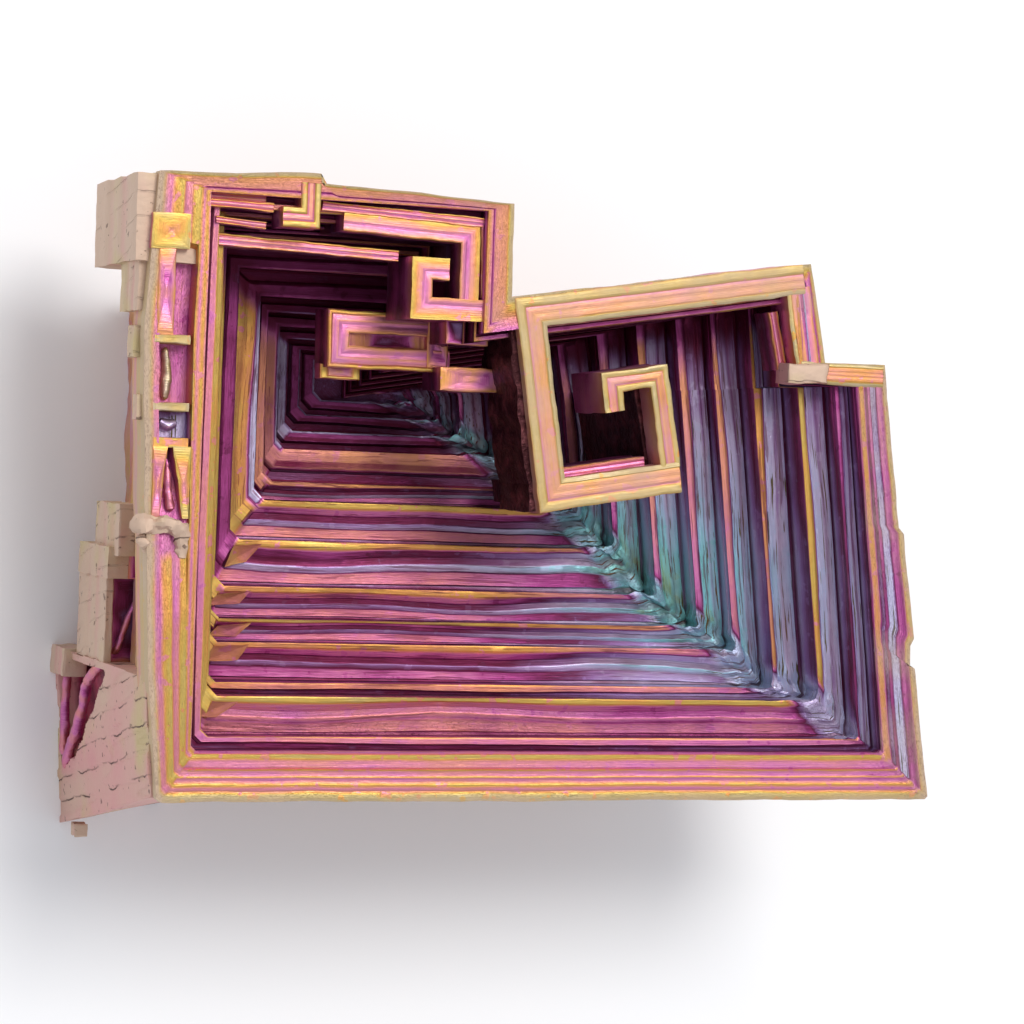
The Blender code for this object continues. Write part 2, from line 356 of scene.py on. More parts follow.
@dataclass(frozen=True)
class OxideFilm:
    """Satin bismuth under an oxide film that runs through the thin-film colours as it thickens."""

    name: str = "oxide_film"
    colours: tuple[tuple[Film, Colour], ...] = (
        (Film.SILVER, (196, 176, 156)),
        (Film.STRAW, (186, 166, 116)),
        (Film.YELLOW, (204, 170, 86)),
        (Film.GOLD, (212, 150, 80)),
        (Film.PEACH, (216, 146, 114)),
        (Film.PINK, (214, 132, 152)),
        (Film.ORCHID, (206, 122, 172)),
        (Film.MAGENTA, (178, 80, 146)),
        (Film.PLUM, (100, 38, 68)),
        (Film.VIOLET, (156, 124, 174)),
        (Film.LAVENDER, (200, 190, 218)),
        (Film.BLUE, (180, 196, 222)),
        (Film.TEAL, (138, 206, 208)),
        (Film.MINT, (150, 180, 140)),
    )
    crusted: Colour = (200, 174, 148)
    pitted: Colour = (104, 92, 58)
    # Wine colour of the stains, also used for painted shade.
    shaded_and_stained: Colour = (98, 26, 52)

    def make(self) -> bpy.types.Material:
        """Make the material.

        Returns:
            The new material.
        """
        wire = Wire.start(self.name)
        place = wire.node("ShaderNodeTexCoord").outputs["Object"]
        grain = wire.node("ShaderNodeUVMap", {"uv_map": "grain"}).outputs["UV"]
        film, dull, fold = wire.attribute("film"), wire.attribute("dull"), wire.attribute("fold")
        # Below 0 the dull attribute carries painted shade, with faint stain spots.
        sunk = dull * -1.0

        # Patterns: streaks and hairs run along the growth, patches and spots don't.
        streaked = wire.stretch(grain, 5.0, 110.0)
        streaks = wire.noise(streaked, 1.0, 4.0)
        hairs = wire.noise(wire.stretch(grain, 7.0, 420.0), 1.0, 3.0)
        patches = wire.noise(place, 260.0, 4.0)
        fine = wire.noise(place, 2400.0, 4.0)
        spots = wire.noise(place, 1100.0, 4.0).band(0.62, 0.65)
        wrinkles = (wire.noise(wire.stretch(grain, 26.0, 80.0), 1.0, 3.0, 0.8) * 6.0).triangle().band(0.0, 0.22)

        # The film's thickness picks its colour.
        thickness = (film + (streaks - 0.5) + (hairs - 0.5) + (patches - 0.5) * 1.3
                     + spots * ((3.6 - film).clamp(0.0, 1.3) + 0.3) + (wrinkles - 0.6) * fold * 0.5)
        ramp = wire.node("ShaderNodeValToRGB", {}, {"Fac": thickness / FILM_SPAN})
        self._paint(ramp.color_ramp)

        # Pale crust, olive pits, wine-dark stains and painted shade lie over it.
        crust = (dull * 1.2 + (patches - 0.5) * 1.6 - 0.25).clamp() * dull.band(0.0, 0.02)
        pits = wire.noise(streaked, 0.8, 5.0).band(0.6, 0.63) * film.band(7.0, 7.6) * fold.band(0.1, 0.3)
        # Painted shade in grooves, at the feet of walls, in the bay, at the ends of walls and deep in the pit, plus
        # faint stain spots.
        shade_and_stain = (sunk * 1.2 + (patches - 0.5) * 0.8).clamp() * sunk.band(0.0, 0.02)
        creases = (1.0 - wrinkles) * fold * (patches - 0.3).clamp() * (1.2 + fold * 1.8)
        smears = wire.noise(wire.stretch(grain, 1.6, 42.0), 1.0, 3.0, 0.6).band(0.58, 0.61) * sunk.band(0.01, 0.04)
        colour = wire.mix(crust, ramp.outputs[0], linear(*self.crusted))
        colour = wire.mix(pits, colour, linear(*self.pitted))
        colour = wire.mix(shade_and_stain.most(creases).most(smears * 0.62), colour, linear(*self.shaded_and_stained))

        relief = streaks * 0.5 + hairs * 0.3 + fine * 0.35 + wrinkles * fold * 0.9 - pits * 0.8
        return wire.close({
            "Base Color": colour, "Metallic": 0.85 - crust * 0.6, "Normal": wire.bump(relief, 0.6, 0.00007),
            "Roughness": (0.29 + patches * 0.14 + fine * 0.14 + crust * 0.3 + fold * 0.1).clamp(0.12, 0.75)})

    def _paint(self, ramp: bpy.types.ColorRamp) -> None:
        """Lay the film colours along a ramp.

        Args:
            ramp: Ramp that gets them.
        """
        for index, (thickness, colour) in enumerate(self.colours):
            at = float(thickness) / FILM_SPAN
            if index < 2:
                ramp.elements[index].position = at
            stop = ramp.elements[index] if index < 2 else ramp.elements.new(at)
            stop.color = linear(*colour)


@dataclass(frozen=True)
class PaleCrust:
    """Matt, weathered bismuth the colour of old plaster, with ragged dark growth lines and blushes of film."""

    name: str = "pale_crust"
    pale: Colour = (208, 180, 158)
    blush: Colour = (216, 148, 152)
    straw: Colour = (200, 184, 132)
    line: Colour = (84, 52, 44)
    wine_dark: Colour = (112, 30, 62)
    wine_light: Colour = (196, 78, 110)
    spacing: float = 0.0017
    line_slope: float = 0.19

    def make(self) -> bpy.types.Material:
        """Make the material.

        Returns:
            The new material.
        """
        wire = Wire.start(self.name)
        place = wire.node("ShaderNodeTexCoord").outputs["Object"]
        axes = wire.node("ShaderNodeSeparateXYZ", {}, {"Vector": place}).outputs
        film, dull = wire.attribute("film"), wire.attribute("dull")
        ragged = wire.noise(place, 420.0, 5.0)
        broad = wire.noise(place, 130.0, 3.0)
        fine = wire.noise(place, 2600.0, 4.0)

        # Growth lines, a spacing apart, broken where the ragged noise is low.
        rise = Signal(wire, axes["Y"]) - Signal(wire, axes["Z"]) * self.line_slope
        layers = (rise / self.spacing + ragged * 0.5 + broad * 0.6).triangle()
        lines = (1.0 - layers.band(0.02, 0.09)) * ragged.band(0.42, 0.6)
        flecks = wire.noise(place, 1500.0, 3.0).band(0.66, 0.7) * 0.7

        # Plaster with blushes outside the hollows, wine-red film inside them.
        bare = 1.0 - dull.band(0.05, 0.25)
        colour = wire.mix((film * 0.3 - 0.5 + (broad - 0.5) * 1.4).clamp(), linear(*self.pale), linear(*self.blush))
        colour = wire.mix(wire.noise(place, 190.0, 2.0).band(0.52, 0.72) * 0.8, colour, linear(*self.straw))
        colour = wire.mix((lines * dull.band(0.62, 0.72)).most(flecks), colour, linear(*self.line))
        wine = wire.mix(ragged.band(0.35, 0.7), linear(*self.wine_dark), linear(*self.wine_light))
        return wire.close({
            "Base Color": wire.mix(bare, colour, wine), "Metallic": 0.35 + bare * 0.45,
            "Roughness": (0.62 - bare * 0.3 + fine * 0.1).clamp(),
            "Normal": wire.bump(fine * 0.5 + ragged * 0.8 - lines * 1.2, 0.8, 0.00012)})


@dataclass(frozen=True)
class ShadedCrust:
    """Rough brown-black growth with glints of maroon; its near-black is painted shade for the deep well and the wall
    under the spiral frame.
    """

    name: str = "shaded_crust"
    dark: Colour = (58, 26, 30)
    glint: Colour = (132, 78, 82)

    def make(self) -> bpy.types.Material:
        """Make the material.

        Returns:
            The new material.
        """
        wire = Wire.start(self.name)
        place = wire.node("ShaderNodeTexCoord").outputs["Object"]
        lumps = wire.noise(place, 700.0, 5.0, roughness=0.7)
        return wire.close({
            "Base Color": wire.mix(lumps.band(0.48, 0.7), linear(*self.dark), linear(*self.glint)),
            "Metallic": 0.85, "Roughness": (0.3 + lumps * 0.3).clamp(), "Normal": wire.bump(lumps, 0.9, 0.0003)})


class Finish(Enum):
    """The finishes that a piece can have."""

    FILM = OxideFilm()
    PALE = PaleCrust()
    DARK = ShadedCrust()

    def material(self) -> bpy.types.Material:
        """The finish's material, made the first time it is asked for."""
        return bpy.data.materials.get(self.value.name) or self.value.make()


# ---------------------------------------------------------------------------------------------
# Meshes
# ---------------------------------------------------------------------------------------------


@dataclass
class Skin:
    """A surface pulled through loops of points; every loop closes on itself and the ends are capped."""

    name: str
    loops: list[np.ndarray] = field(default_factory=list)
    films: list[np.ndarray] = field(default_factory=list)
    dulls: list[np.ndarray] = field(default_factory=list)
    folds: list[np.ndarray] = field(default_factory=list)

    def add(self, points: np.ndarray, film: np.ndarray | float, dull: np.ndarray | float = 0.0,
            fold: np.ndarray | float = 0.0) -> None:
        """Add the next loop.

        Args:
            points: One x, y, height row per column.
            film: Oxide film of each column.
            dull: Pale crusted share of each column, or painted shade and stain below 0.
            fold: Crumpled share of each column.
        """
        count = len(points)
        self.loops.append(np.asarray(points, float))
        self.films.append(np.broadcast_to(np.asarray(film, float), (count,)))
        self.dulls.append(np.broadcast_to(np.asarray(dull, float), (count,)))
        self.folds.append(np.broadcast_to(np.asarray(fold, float), (count,)))

    def build(self) -> bpy.types.Object:
        """Make the object.

        Returns:
            The new object, at the origin, with its film, dullness and grain map.
        """
        points = self._wrapped(np.stack(self.loops))
        rows, cols = points.shape[:2]
        bm = bmesh.new()
        bmesh.ops.create_grid(bm, x_segments=cols - 1, y_segments=rows - 1, size=1.0)
        mesh = bpy.data.meshes.new(self.name)
        bm.to_mesh(mesh)
        seat = np.empty(len(mesh.vertices) * 3)
        mesh.vertices.foreach_get("co", seat)
        seat = seat.reshape(-1, 3)
        col = np.rint((seat[:, 0] + 1) / 2 * (cols - 1)).astype(int)
        row = np.rint((seat[:, 1] + 1) / 2 * (rows - 1)).astype(int)
        mesh.vertices.foreach_set("co", to_frame(points)[row, col].ravel())
        for label, values in (("film", self.films), ("dull", self.dulls), ("fold", self.folds)):
            attribute = mesh.attributes.new(label, "FLOAT", "POINT")
            attribute.data.foreach_set("value", self._wrapped(np.stack(values))[row, col])
        self._map_grain(mesh, points, row, col)
        bm.clear()
        bm.from_mesh(mesh)
        bm.verts.ensure_lookup_table()
        seam = [bm.verts[i] for i in np.flatnonzero((col == 0) | (col == cols - 1))]
        bmesh.ops.remove_doubles(bm, verts=seam, dist=1e-8)
        rim = [edge for edge in bm.edges if edge.is_boundary]
        bmesh.ops.holes_fill(bm, edges=rim, sides=0)
        bmesh.ops.recalc_face_normals(bm, faces=bm.faces)
        bm.to_mesh(mesh)
        bm.free()
        mesh.shade_smooth()
        mesh.set_sharp_from_angle(angle=SHARP_ANGLE)
        piece = bpy.data.objects.new(self.name, mesh)
        bpy.context.scene.collection.objects.link(piece)
        return piece

    @staticmethod
    def _wrapped(values: np.ndarray) -> np.ndarray:
        """Repeat the first column after the last."""
        return np.concatenate((values, values[:, :1]), axis=1)

    @staticmethod
    def _map_grain(mesh: bpy.types.Mesh, points: np.ndarray, row: np.ndarray, col: np.ndarray) -> None:
        """Lay a map in centimetres along the loops and across them, for streaks that follow growth.

        Args:
            mesh: Mesh that gets the map.
            points: Loops of points in millimetres.
            row: Loop of each vertex.
            col: Column of each vertex.
        """
        along = np.linalg.norm(np.diff(points, axis=1), axis=2).mean(axis=0)
        across = np.linalg.norm(np.diff(points, axis=0), axis=2).mean(axis=1)
        u = np.concatenate(([0.0], np.cumsum(along))) / 10
        v = np.concatenate(([0.0], np.cumsum(across))) / 10
        corner = np.empty(len(mesh.loops), int)
        mesh.loops.foreach_get("vertex_index", corner)
        grain = mesh.uv_layers.new(name="grain")
        grain.data.foreach_set("uv", np.column_stack((u[col[corner]], v[row[corner]])).ravel())


def sample_side(line: list[Point], count: int) -> np.ndarray:
    """Spread points along a broken line, leaving out its end.

    Args:
        line: Corners of the line.
        count: How many points.

    Returns:
        The points, with the nearest ones moved onto the inner corners.
    """
    corners = np.array(line, float)
    reach = np.concatenate(([0.0], np.cumsum(np.linalg.norm(np.diff(corners, axis=0), axis=1))))
    stops = np.linspace(0.0, reach[-1], count + 1)[:-1]
    for stop in reach[1:-1]:
        stops[1 + np.argmin(np.abs(stops[1:] - stop))] = stop
    return np.column_stack([np.interp(stops, reach, corners[:, axis]) for axis in (0, 1)])


def outward(points: np.ndarray) -> np.ndarray:
    """Unit directions pointing out of an anticlockwise loop.

    Args:
        points: The loop's x, y rows.

    Returns:
        One direction per point.
    """
    along = np.roll(points, -1, axis=0) - np.roll(points, 1, axis=0)
    out = np.column_stack((along[:, 1], -along[:, 0]))
    return out / np.maximum(np.linalg.norm(out, axis=1, keepdims=True), 1e-9)


def lift(points: np.ndarray, height: np.ndarray | float) -> np.ndarray:
    """Give plan points a height.

    Args:
        points: The x, y rows.
        height: One height, or one per point.

    Returns:
        The x, y, height rows.
    """
    return np.column_stack((points, np.broadcast_to(height, (len(points),))))


def inset(outline: list[Point], distances: list[float]) -> list[Point]:
    """Move each side of an anticlockwise polygon inwards by its own distance.

    Args:
        outline: Corners of the polygon.
        distances: One distance per side, the first side starting at the first corner.

    Returns:
        The moved corners.
    """
    lines = []
    for start, end, distance in zip(outline, outline[1:] + outline[:1], distances):
        length = math.dist(start, end)
        nx, ny = (start[1] - end[1]) / length, (end[0] - start[0]) / length
        lines.append((nx, ny, nx * start[0] + ny * start[1] + distance))
    moved = []
    for (a1, b1, c1), (a2, b2, c2) in zip(lines[-1:] + lines[:-1], lines):
        det = a1 * b2 - a2 * b1
        moved.append(((c1 * b2 - c2 * b1) / det, (a1 * c2 - a2 * c1) / det))
    return moved


@dataclass(frozen=True)
class Profile:
    """Heights and films met on the way across a ledge or down a wall."""

    stops: tuple[tuple[float, float, float], ...]

    def at(self, share: float) -> tuple[float, float]:
        """Read the profile.

        Args:
            share: Way across, 0 to 1.

        Returns:
            The height and the film there.
        """
        shares, heights, films = zip(*self.stops)
        return float(np.interp(share, shares, heights)), float(np.interp(share, shares, films))


class Side(IntEnum):
    """The ten sides of the crystal's outline, anticlockwise from the front-left corner."""

    FRONT_LEFT = 0
    FRONT = 1
    FRONT_RIGHT = 2
    RIGHT = 3
    JOG = 4
    BAY_SIDE = 5
    BAY_BACK = 6
    BAY_LEFT = 7
    BACK = 8
    LEFT = 9


@dataclass(frozen=True)
class Ring:
    """How many columns each side of a closed outline gets."""

    counts: tuple[int, ...]

    def first(self, side: int) -> int:
        """Number of a side's first column."""
        return sum(self.counts[:side])

    def sample(self, sides: list[list[Point]]) -> np.ndarray:
        """Spread the columns along the sides.

        Args:
            sides: Broken line of each side, each starting where the last one ends.

        Returns:
            One x, y row per column.
        """
        return np.concatenate([sample_side(side, count) for side, count in zip(sides, self.counts)])

    def corners(self, outline: list[Point]) -> np.ndarray:
        """Spread the columns along straight sides.

        Args:
            outline: Corners of the outline.

        Returns:
            One x, y row per column.
        """
        return self.sample([[a, b] for a, b in zip(outline, outline[1:] + outline[:1])])

    def spread(self, values: Sequence[float]) -> np.ndarray:
        """Repeat each side's value for its columns."""
        return np.repeat(np.asarray(values, float), self.counts)

    def read(self, profiles: list[Profile], share: float) -> tuple[np.ndarray, np.ndarray]:
        """Read each side's profile at one share.

        Args:
            profiles: One profile per side.
            share: Way across, 0 to 1.

        Returns:
            Heights and films, one per column.
        """
        heights, films = zip(*(profile.at(share) for profile in profiles))
        return self.spread(list(heights)), self.spread(list(films))


class SubAssembly:
    """Pieces of the crystal that are made and dressed together."""

    @staticmethod
    def dress(piece: bpy.types.Object, finish: Finish) -> bpy.types.Object:
        """Give a piece its finish and tie it to the crystal.

        Args:
            piece: Piece to dress.
            finish: Finish that it gets.

        Returns:
            The same piece.
        """
        piece.data.materials.append(finish.material())
        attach(piece, "root")
        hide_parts(NODE)
        return piece

    def grow(self, *groups: tuple[Growth | Branch, ...]) -> list[bpy.types.Object]:
        """Build and dress groups of growths in order.

        Args:
            groups: Growths and branches to make.

        Returns:
            The new objects.
        """
        return [self.dress(part.build(), part.finish) for group in groups for part in group]


def side_profiles(front: Profile, right: Profile, bay: Profile, back: Profile, left: Profile) -> list[Profile]:
    """Give the ten sides of the crystal's outline their profiles.

    Args:
        front: The front wall and its front-right corner.
        right: The leaning right wall.
        bay: The right bay behind the spiral frame.
        back: The back wall.
        left: The left wall and its front corner.

    Returns:
        One profile per side.
    """
    return [left, front, front, right, right, right, bay, back, back, left]


@dataclass
class HopperBody(SubAssembly):
    """The crystal itself: flanks, rim and the stepped pit as one closed skin."""

    ring: Ring = Ring((3, 84, 2, 54, 6, 12, 34, 10, 34, 50))
    depths: tuple[float, ...] = (0.0, 1.5, 3.0, 5.4, 7.5, 8.8, 10.5, 12.5, 14.0, 15.5, 17.0, 18.5, 20.0,
                                 20.6, 21.3)
    left: tuple[float, ...] = (23.2, 22.3, 21.6, 20.9, 20.4, 20.0, 19.4, 17.9, 15.9, 14.9, 13.6, 12.6, 11.2, 9.9)
    right: tuple[float, ...] = (25.0, 23.9, 21.8, 19.5, 17.5, 15.4, 13.1, 10.9, 8.5, 6.5, 4.0, 2.0, 0.7, -1.0)
    front: tuple[float, ...] = (17.5, 16.7, 14.2, 13.5, 11.0, 9.5, 7.4, 4.3, 1.6, 0.3, -2.0, -3.3, -4.5,
                                -5.6)
    back: tuple[float, ...] = (18.3, 17.5, 17.0, 16.75, 16.5, 16.2, 15.7, 14.3, 12.5, 11.5, 10.6, 9.8, 9.1, 8.4)
    mitres: tuple[float, ...] = (0.35, 0.5, 0.7, 0.5, 0.6, 0.6, 0.7, 0.7, 0.8, 0.7, 0.6, 0.6, 0.6, 0.6)
    lip_height: float = 0.3
    corner_cut: float = 0.2
    flank_cut: float = 0.3
    # The crumpled seam in the front-right corner: spread in X and Y, how far it is pushed sideways and up,
    # and its film at the rim and per ledge.
    seam_reach: Point = (5.0, 2.2)
    seam_push: Point = (0.45, 0.35)
    seam_film: Point = (7.6, 0.45)
    # Film that the ends of the bay and of the left wall run into, and the depths over which painted shade sets in.
    end_film: float = 5.6
    shade_depths: Point = (13.0, 17.0)
    # The hollow in the left rim: depths met on the way along Y.
    trench_y: tuple[float, ...] = (-10.0, -5.0, -2.0, 0.5, 14.6, 14.8)
    trench_depth: tuple[float, ...] = (0.0, 0.35, 0.8, 1.5, 1.5, 0.0)
    flank_depths: tuple[float, ...] = (6.4, 9.7, 12.9, 16.0, 19.4, 22.9, 26.5)
    flank_insets: tuple[tuple[float, ...], ...] = (
        (0.5, 0.7, 0.7, 0.2, 0.3, 0.2, 0.5, 0.7),
        (1.4, 1.7, 1.4, 1.0, 0.9, 0.5, 1.2, 1.3),
        (2.4, 2.9, 2.3, 2.9, 1.9, 0.8, 2.1, 1.9),
        (3.6, 4.3, 3.2, 4.3, 2.6, 1.1, 3.2, 2.5),
        (4.7, 5.8, 4.2, 5.8, 3.3, 1.5, 4.3, 3.1),
        (6.0, 7.6, 5.4, 7.6, 4.0, 1.8, 5.6, 3.7),
        (7.2, 9.0, 6.6, 9.0, 4.5, 2.0, 6.8, 4.2),
    )
    flank_outline: tuple[Point, ...] = (
        (-26.0, -20.7), (29.8, -20.7), (25.0, 9.3), (20.5, 9.2), (19.1, 15.9), (-2.6, 12.5),
        (-2.7, 18.6), (-26.4, 19.1))
    rim_depth: float = 3.4
    rim_lines: tuple[tuple[Point, ...], ...] = (
        ((-25.35, -20.5), (-25.0, -20.8)),
        ((-25.0, -20.8), (29.9, -20.8)),
        ((29.9, -20.8), (30.1, -20.6)),
        ((30.1, -20.6), (28.7, -11.6), (28.3, -11.5), (28.2, -9.6), (28.5, -9.5), (27.3, -1.9),
         (26.9, -1.8), (25.3, 9.5)),
        ((25.3, 9.5), (20.7, 9.4)),
        ((20.7, 9.4), (19.3, 16.2)),
        ((19.3, 16.2), (-2.5, 12.7)),
        ((-2.5, 12.7), (-2.6, 18.9)),
        ((-2.6, 18.9), (-15.9, 19.4), (-15.95, 20.0), (-26.6, 19.4)),
        ((-26.6, 19.4), (-27.3, 9.0), (-26.8, -2.0), (-26.1, -13.0), (-25.35, -20.5)),
    )

    def opening(self, ledge: int) -> np.ndarray:
        """Plan of the pit inside one ledge.

        Args:
            ledge: Which ledge, the rim first.

        Returns:
            One x, y row per column.
        """
        left, front, back = -self.left[ledge], -self.front[ledge], self.back[ledge]
        mitre, cut = self.mitres[ledge], self.corner_cut
        step = -4.4 - 0.25 * ledge
        bay_x, bay_y = from_spiral((0.0, 12.3 - 0.4 * min(ledge, 1) - 0.1 * ledge - 0.3 * max(0, ledge - 6)))
        slope = math.tan(FRAME_TURN)

        def right_wall(y: float) -> float:
            """Place of the leaning right wall at one Y."""
            return self.right[ledge] - RIGHT_LEAN * (y - RIGHT_AT)

        def bay_back(x: float) -> float:
            """Place of the bay's turned back wall at one X."""
            return bay_y + (x - bay_x) * slope

        jog_y = 8.0 - 0.15 * ledge
        jog_x = min(18.75 - 0.1 * ledge, right_wall(jog_y) - 0.05)
        far_x = jog_x - RIGHT_LEAN * 5
        return self.ring.corners([
            (left, front + mitre), (left + mitre, front), (right_wall(front) - cut, front),
            (right_wall(front + cut), front + cut), (right_wall(jog_y), jog_y), (jog_x, jog_y),
            (far_x, bay_back(far_x)), (step, bay_back(step)), (step, back), (left, back)])

    def flank(self, distances: tuple[float, ...], grow: float = 0.0) -> np.ndarray:
        """Plan of the flank at one ledge.

        Args:
            distances: How far each side steps in.
            grow: How much less far it steps in here.

        Returns:
            One x, y row per column.
        """
        moved = inset(list(self.flank_outline), [distance - grow for distance in distances])
        (x0, y0), (x1, y1) = moved[:2]
        cut = self.flank_cut
        return self.ring.corners([(x0, y0 + cut), (x0 + cut, y0), (x1 - cut, y1), (x1, y1 + cut)] + moved[2:])

    def build(self) -> list[bpy.types.Object]:
        """Make the skin from the resting face up, over the rim and down into the pit.

        Returns:
            The crystal's skin, alone in its list.
        """
        skin = Skin("hopper_body")
        self._flanks(skin)
        self._rim(skin)
        for ledge in range(len(self.left)):
            self._riser(skin, ledge)
            if ledge + 1 < len(self.left):
                self._tread(skin, ledge)
        floor = self.opening(len(self.left) - 1)
        middle = floor.mean(axis=0)
        for share in FLOOR_SHARES:
            skin.add(lift(floor + (middle - floor) * share, -self.depths[-1]), FLOOR_FILM)
        return [self.dress(skin.build(), Finish.FILM)]

    def _flanks(self, skin: Skin) -> None:
        """Stack the ledges of the flanks, each with a shallow groove and a lip.

        Args:
            skin: Skin that gets the loops.
        """
        levels = list(zip(self.flank_insets, self.flank_depths, (self.rim_depth,) + self.flank_depths[:-1]))
        for index, (distances, foot, top) in enumerate(reversed(levels)):
            tall = foot - top
            shift = 0.9 * math.sin(index * 2.3)
            for share, grow, film in FLANK_STEPS:
                plan = self.flank(distances, grow)
                wear = ripple(plan, 3.5, index + share)
                plan = plan + outward(plan) * (steppy(wear, 4) * 0.2 + 0.08 * ripple(plan, 0.9, index + share))[:, None]
                height = -foot + tall * share + (0.16 * ripple(plan, 3.0, 9 + index) if 0 < share < 1 else 0.0)
                blush = 1.6 * ripple(plan, 7.0, 30 + index) + 0.7 * ripple(plan, 2.0, 31.0 + index) + shift
                skin.add(lift(plan, height), np.clip(film + blush, 0, THICKEST), 0.55 + 0.35 * ripple(plan, 5.0, 50.0))

    def _rim(self, skin: Skin) -> None:
        """Turn over the edge of the rim and cross its grooved top.

        Args:
            skin: Skin that gets the loops.
        """
        outer = self.ring.sample([list(line) for line in self.rim_lines])
        inner = self.opening(0)
        out = outward(outer)
        wear = steppy(ripple(outer, 3.0, 2.0), 3) * 0.1
        for depth, grow, film in RIM_EDGE:
            plan = outer + out * (grow + wear)[:, None]
            skin.add(lift(plan, -depth + 0.1 * ripple(plan, 4.0, 5.0)), film + 0.9 * ripple(plan, 5.0, 4.0),
                     self.ring.spread(EDGE_CRUST))
        left = np.arange(len(outer)) >= self.ring.first(Side.LEFT)
        trench = np.interp(outer[:, 1], self.trench_y, self.trench_depth) * left
        for share in RIM_SHARES:
            plan = outer + out * (wear * (1 - share))[:, None]
            plan = plan + (inner - plan) * share
            height, film = self.ring.read(RIM, share)
            sunk = trench * (0.25 < share < 0.79)
            cold = smoothstep(4.6, 4.2, plan[:, 1]) * smoothstep(1.6, 2.2, plan[:, 1])
            film = np.where(sunk > 0.3, 4.5 + 0.8 * ripple(plan, 2.0, 6.0) + 3.2 * cold, film)
            crust = self.ring.spread(RIM_CRUST) * max(0.0, 1 - share * 4.5) + self.ring.spread(RIM_DULL)
            rough = self.ring.spread(RIM_ROUGH) + crust * 0.4
            self._add(skin, plan, height - 0.05 - sunk, film, 3.0 + share, 0.05, 0, crust, rough)

    def _riser(self, skin: Skin, ledge: int) -> None:
        """Drop from one ledge's lip to the foot of its wall.

        Args:
            skin: Skin that gets the loops.
            ledge: Ledge whose wall it is.
        """
        top = -self.depths[ledge] + (self.lip_height if ledge else 0.0)
        foot = -self.depths[ledge + 1]
        plan = self.opening(ledge)
        out = outward(plan)
        for share, grow in RISER_STEPS:
            _, film = self.ring.read(RISERS, share)
            moved = plan + out * grow
            self._add(skin, moved, np.full(len(plan), top + (foot - top) * share), film, 40.0 + ledge, 0.035, ledge)

    def _tread(self, skin: Skin, ledge: int) -> None:
        """Cross one ledge from the foot of its wall to the lip of the next.

        Args:
            skin: Skin that gets the loops.
            ledge: Ledge that is crossed.
        """
        start, end = self.opening(ledge), self.opening(ledge + 1)
        looks = side_profiles(FRONT_TREADS[ledge], RIGHT_TREADS[ledge], BAY_TREAD, BACK_TREADS[ledge],
                              LEFT_TREADS[ledge])
        drift = 0.24 * ripple(start, 13.0, 20.0 + ledge) + 0.02 * ripple(start, 2.2, 33.0 + ledge)
        for share in SHARES:
            height, film = self.ring.read(looks, share)
            way = np.clip(share + drift * 4 * share * (1 - share), 0.0, 1.0)
            plan = start + (end - start) * way[:, None]
            # Painted shade darkens the foot and the fine line, and a sunk band on the deeper front ledges; a faint base
            # elsewhere carries stain spots and smears.
            groove = -0.6 if share < 0.06 else -0.35 if 0.3 < share < 0.4 else -0.05 * (ledge > 1)
            sunk = -0.5 if ledge > 2 and 0.5 < share < 0.66 else groove
            shade = self.ring.spread((groove, sunk, sunk, *(groove,) * 7))
            # The second front ledge and the flats of the right wall are crumpled.
            front, right = 0.35 * (ledge == 1 and share < 0.7), 0.34 * (0.05 < share < 0.8)
            rough = self.ring.spread((0.0, front, 0.6, right, *(0.2,) * 6))
            self._add(skin, plan, height - self.depths[ledge + 1], film, 60.0 + ledge + 0.2 * share, 0.03, ledge,
                      shade, rough, share > 0.86)

    def _add(self, skin: Skin, plan: np.ndarray, height: np.ndarray, film: np.ndarray, seed: float,
             wear: float, ledge: int = 0, crust: np.ndarray | float = 0.0,
             rough: np.ndarray | float = 0.0, on_lip: bool = False) -> None:
        """Add one loop with its growth wear, crumpled corner, drift of colour and painted shade.

        Args:
            skin: Skin that gets the loop.
            plan: The loop's x, y rows.
            height: Height of each column.
            film: Film of each column.
            seed: Picks the wear.
            wear: How far the edges wander, millimetres.
            ledge: Which ledge the loop is on.
            crust: Pale crusted share of each column, or painted shade below 0.
            rough: Crumpled share of each column.
            on_lip: Whether the loop is on a lip, which gets far less painted shade.
        """
        near = self._near_seam(plan) * (1.0 if ledge else 0.15)
        wander = steppy(ripple(plan, 5.0, math.floor(seed)), 3) * wear + ripple(plan, 1.1, seed) * wear * 0.3
        wander = wander + near * self.seam_push[0] * ripple(plan, 0.8, seed * 3)
        moved = plan + outward(plan) * wander[:, None]
        height = height + near * self.seam_push[1] * ripple(plan, 0.7, seed * 5)
        drift = 0.5 * ripple(plan, 6.0, ledge + 3.0) + 0.15 * ripple(plan, 1.4, seed)
        cool = self._cool(plan, film, ledge) + near * 1.2 * (ledge > 0)
        ends = self._wall_ends(ledge)
        film = film + ends * (self.end_film - film) * 0.85
        seam = smoothstep(0.25, 0.75, near) * (ledge < 11)
        seam_film = np.clip(self.seam_film[0] + self.seam_film[1] * ledge, 0, 9.8)
        film = film + seam * (seam_film - film - cool - 0.6 * drift) * 0.9
        # Painted shade: dark in the bay, at the ends of walls and deep in the pit, far less on lips.
        painted_shade = self._painted_shade(height, ends, ledge) * (0.25 if on_lip else 1.0)
        skin.add(lift(moved, height), np.clip(film + drift + cool, 0.0, THICKEST), crust - painted_shade,
                 np.clip(near * 1.6 + rough, 0, 1))

    def _near_seam(self, plan: np.ndarray) -> np.ndarray:
        """How near each column is to the crumpled seam in the front-right corner, 1 at the corner."""
        away = plan - plan[self.ring.first(Side.FRONT_RIGHT)]
        return np.exp(-(away[:, 0] ** 2 / self.seam_reach[0] + away[:, 1] ** 2 / self.seam_reach[1]))

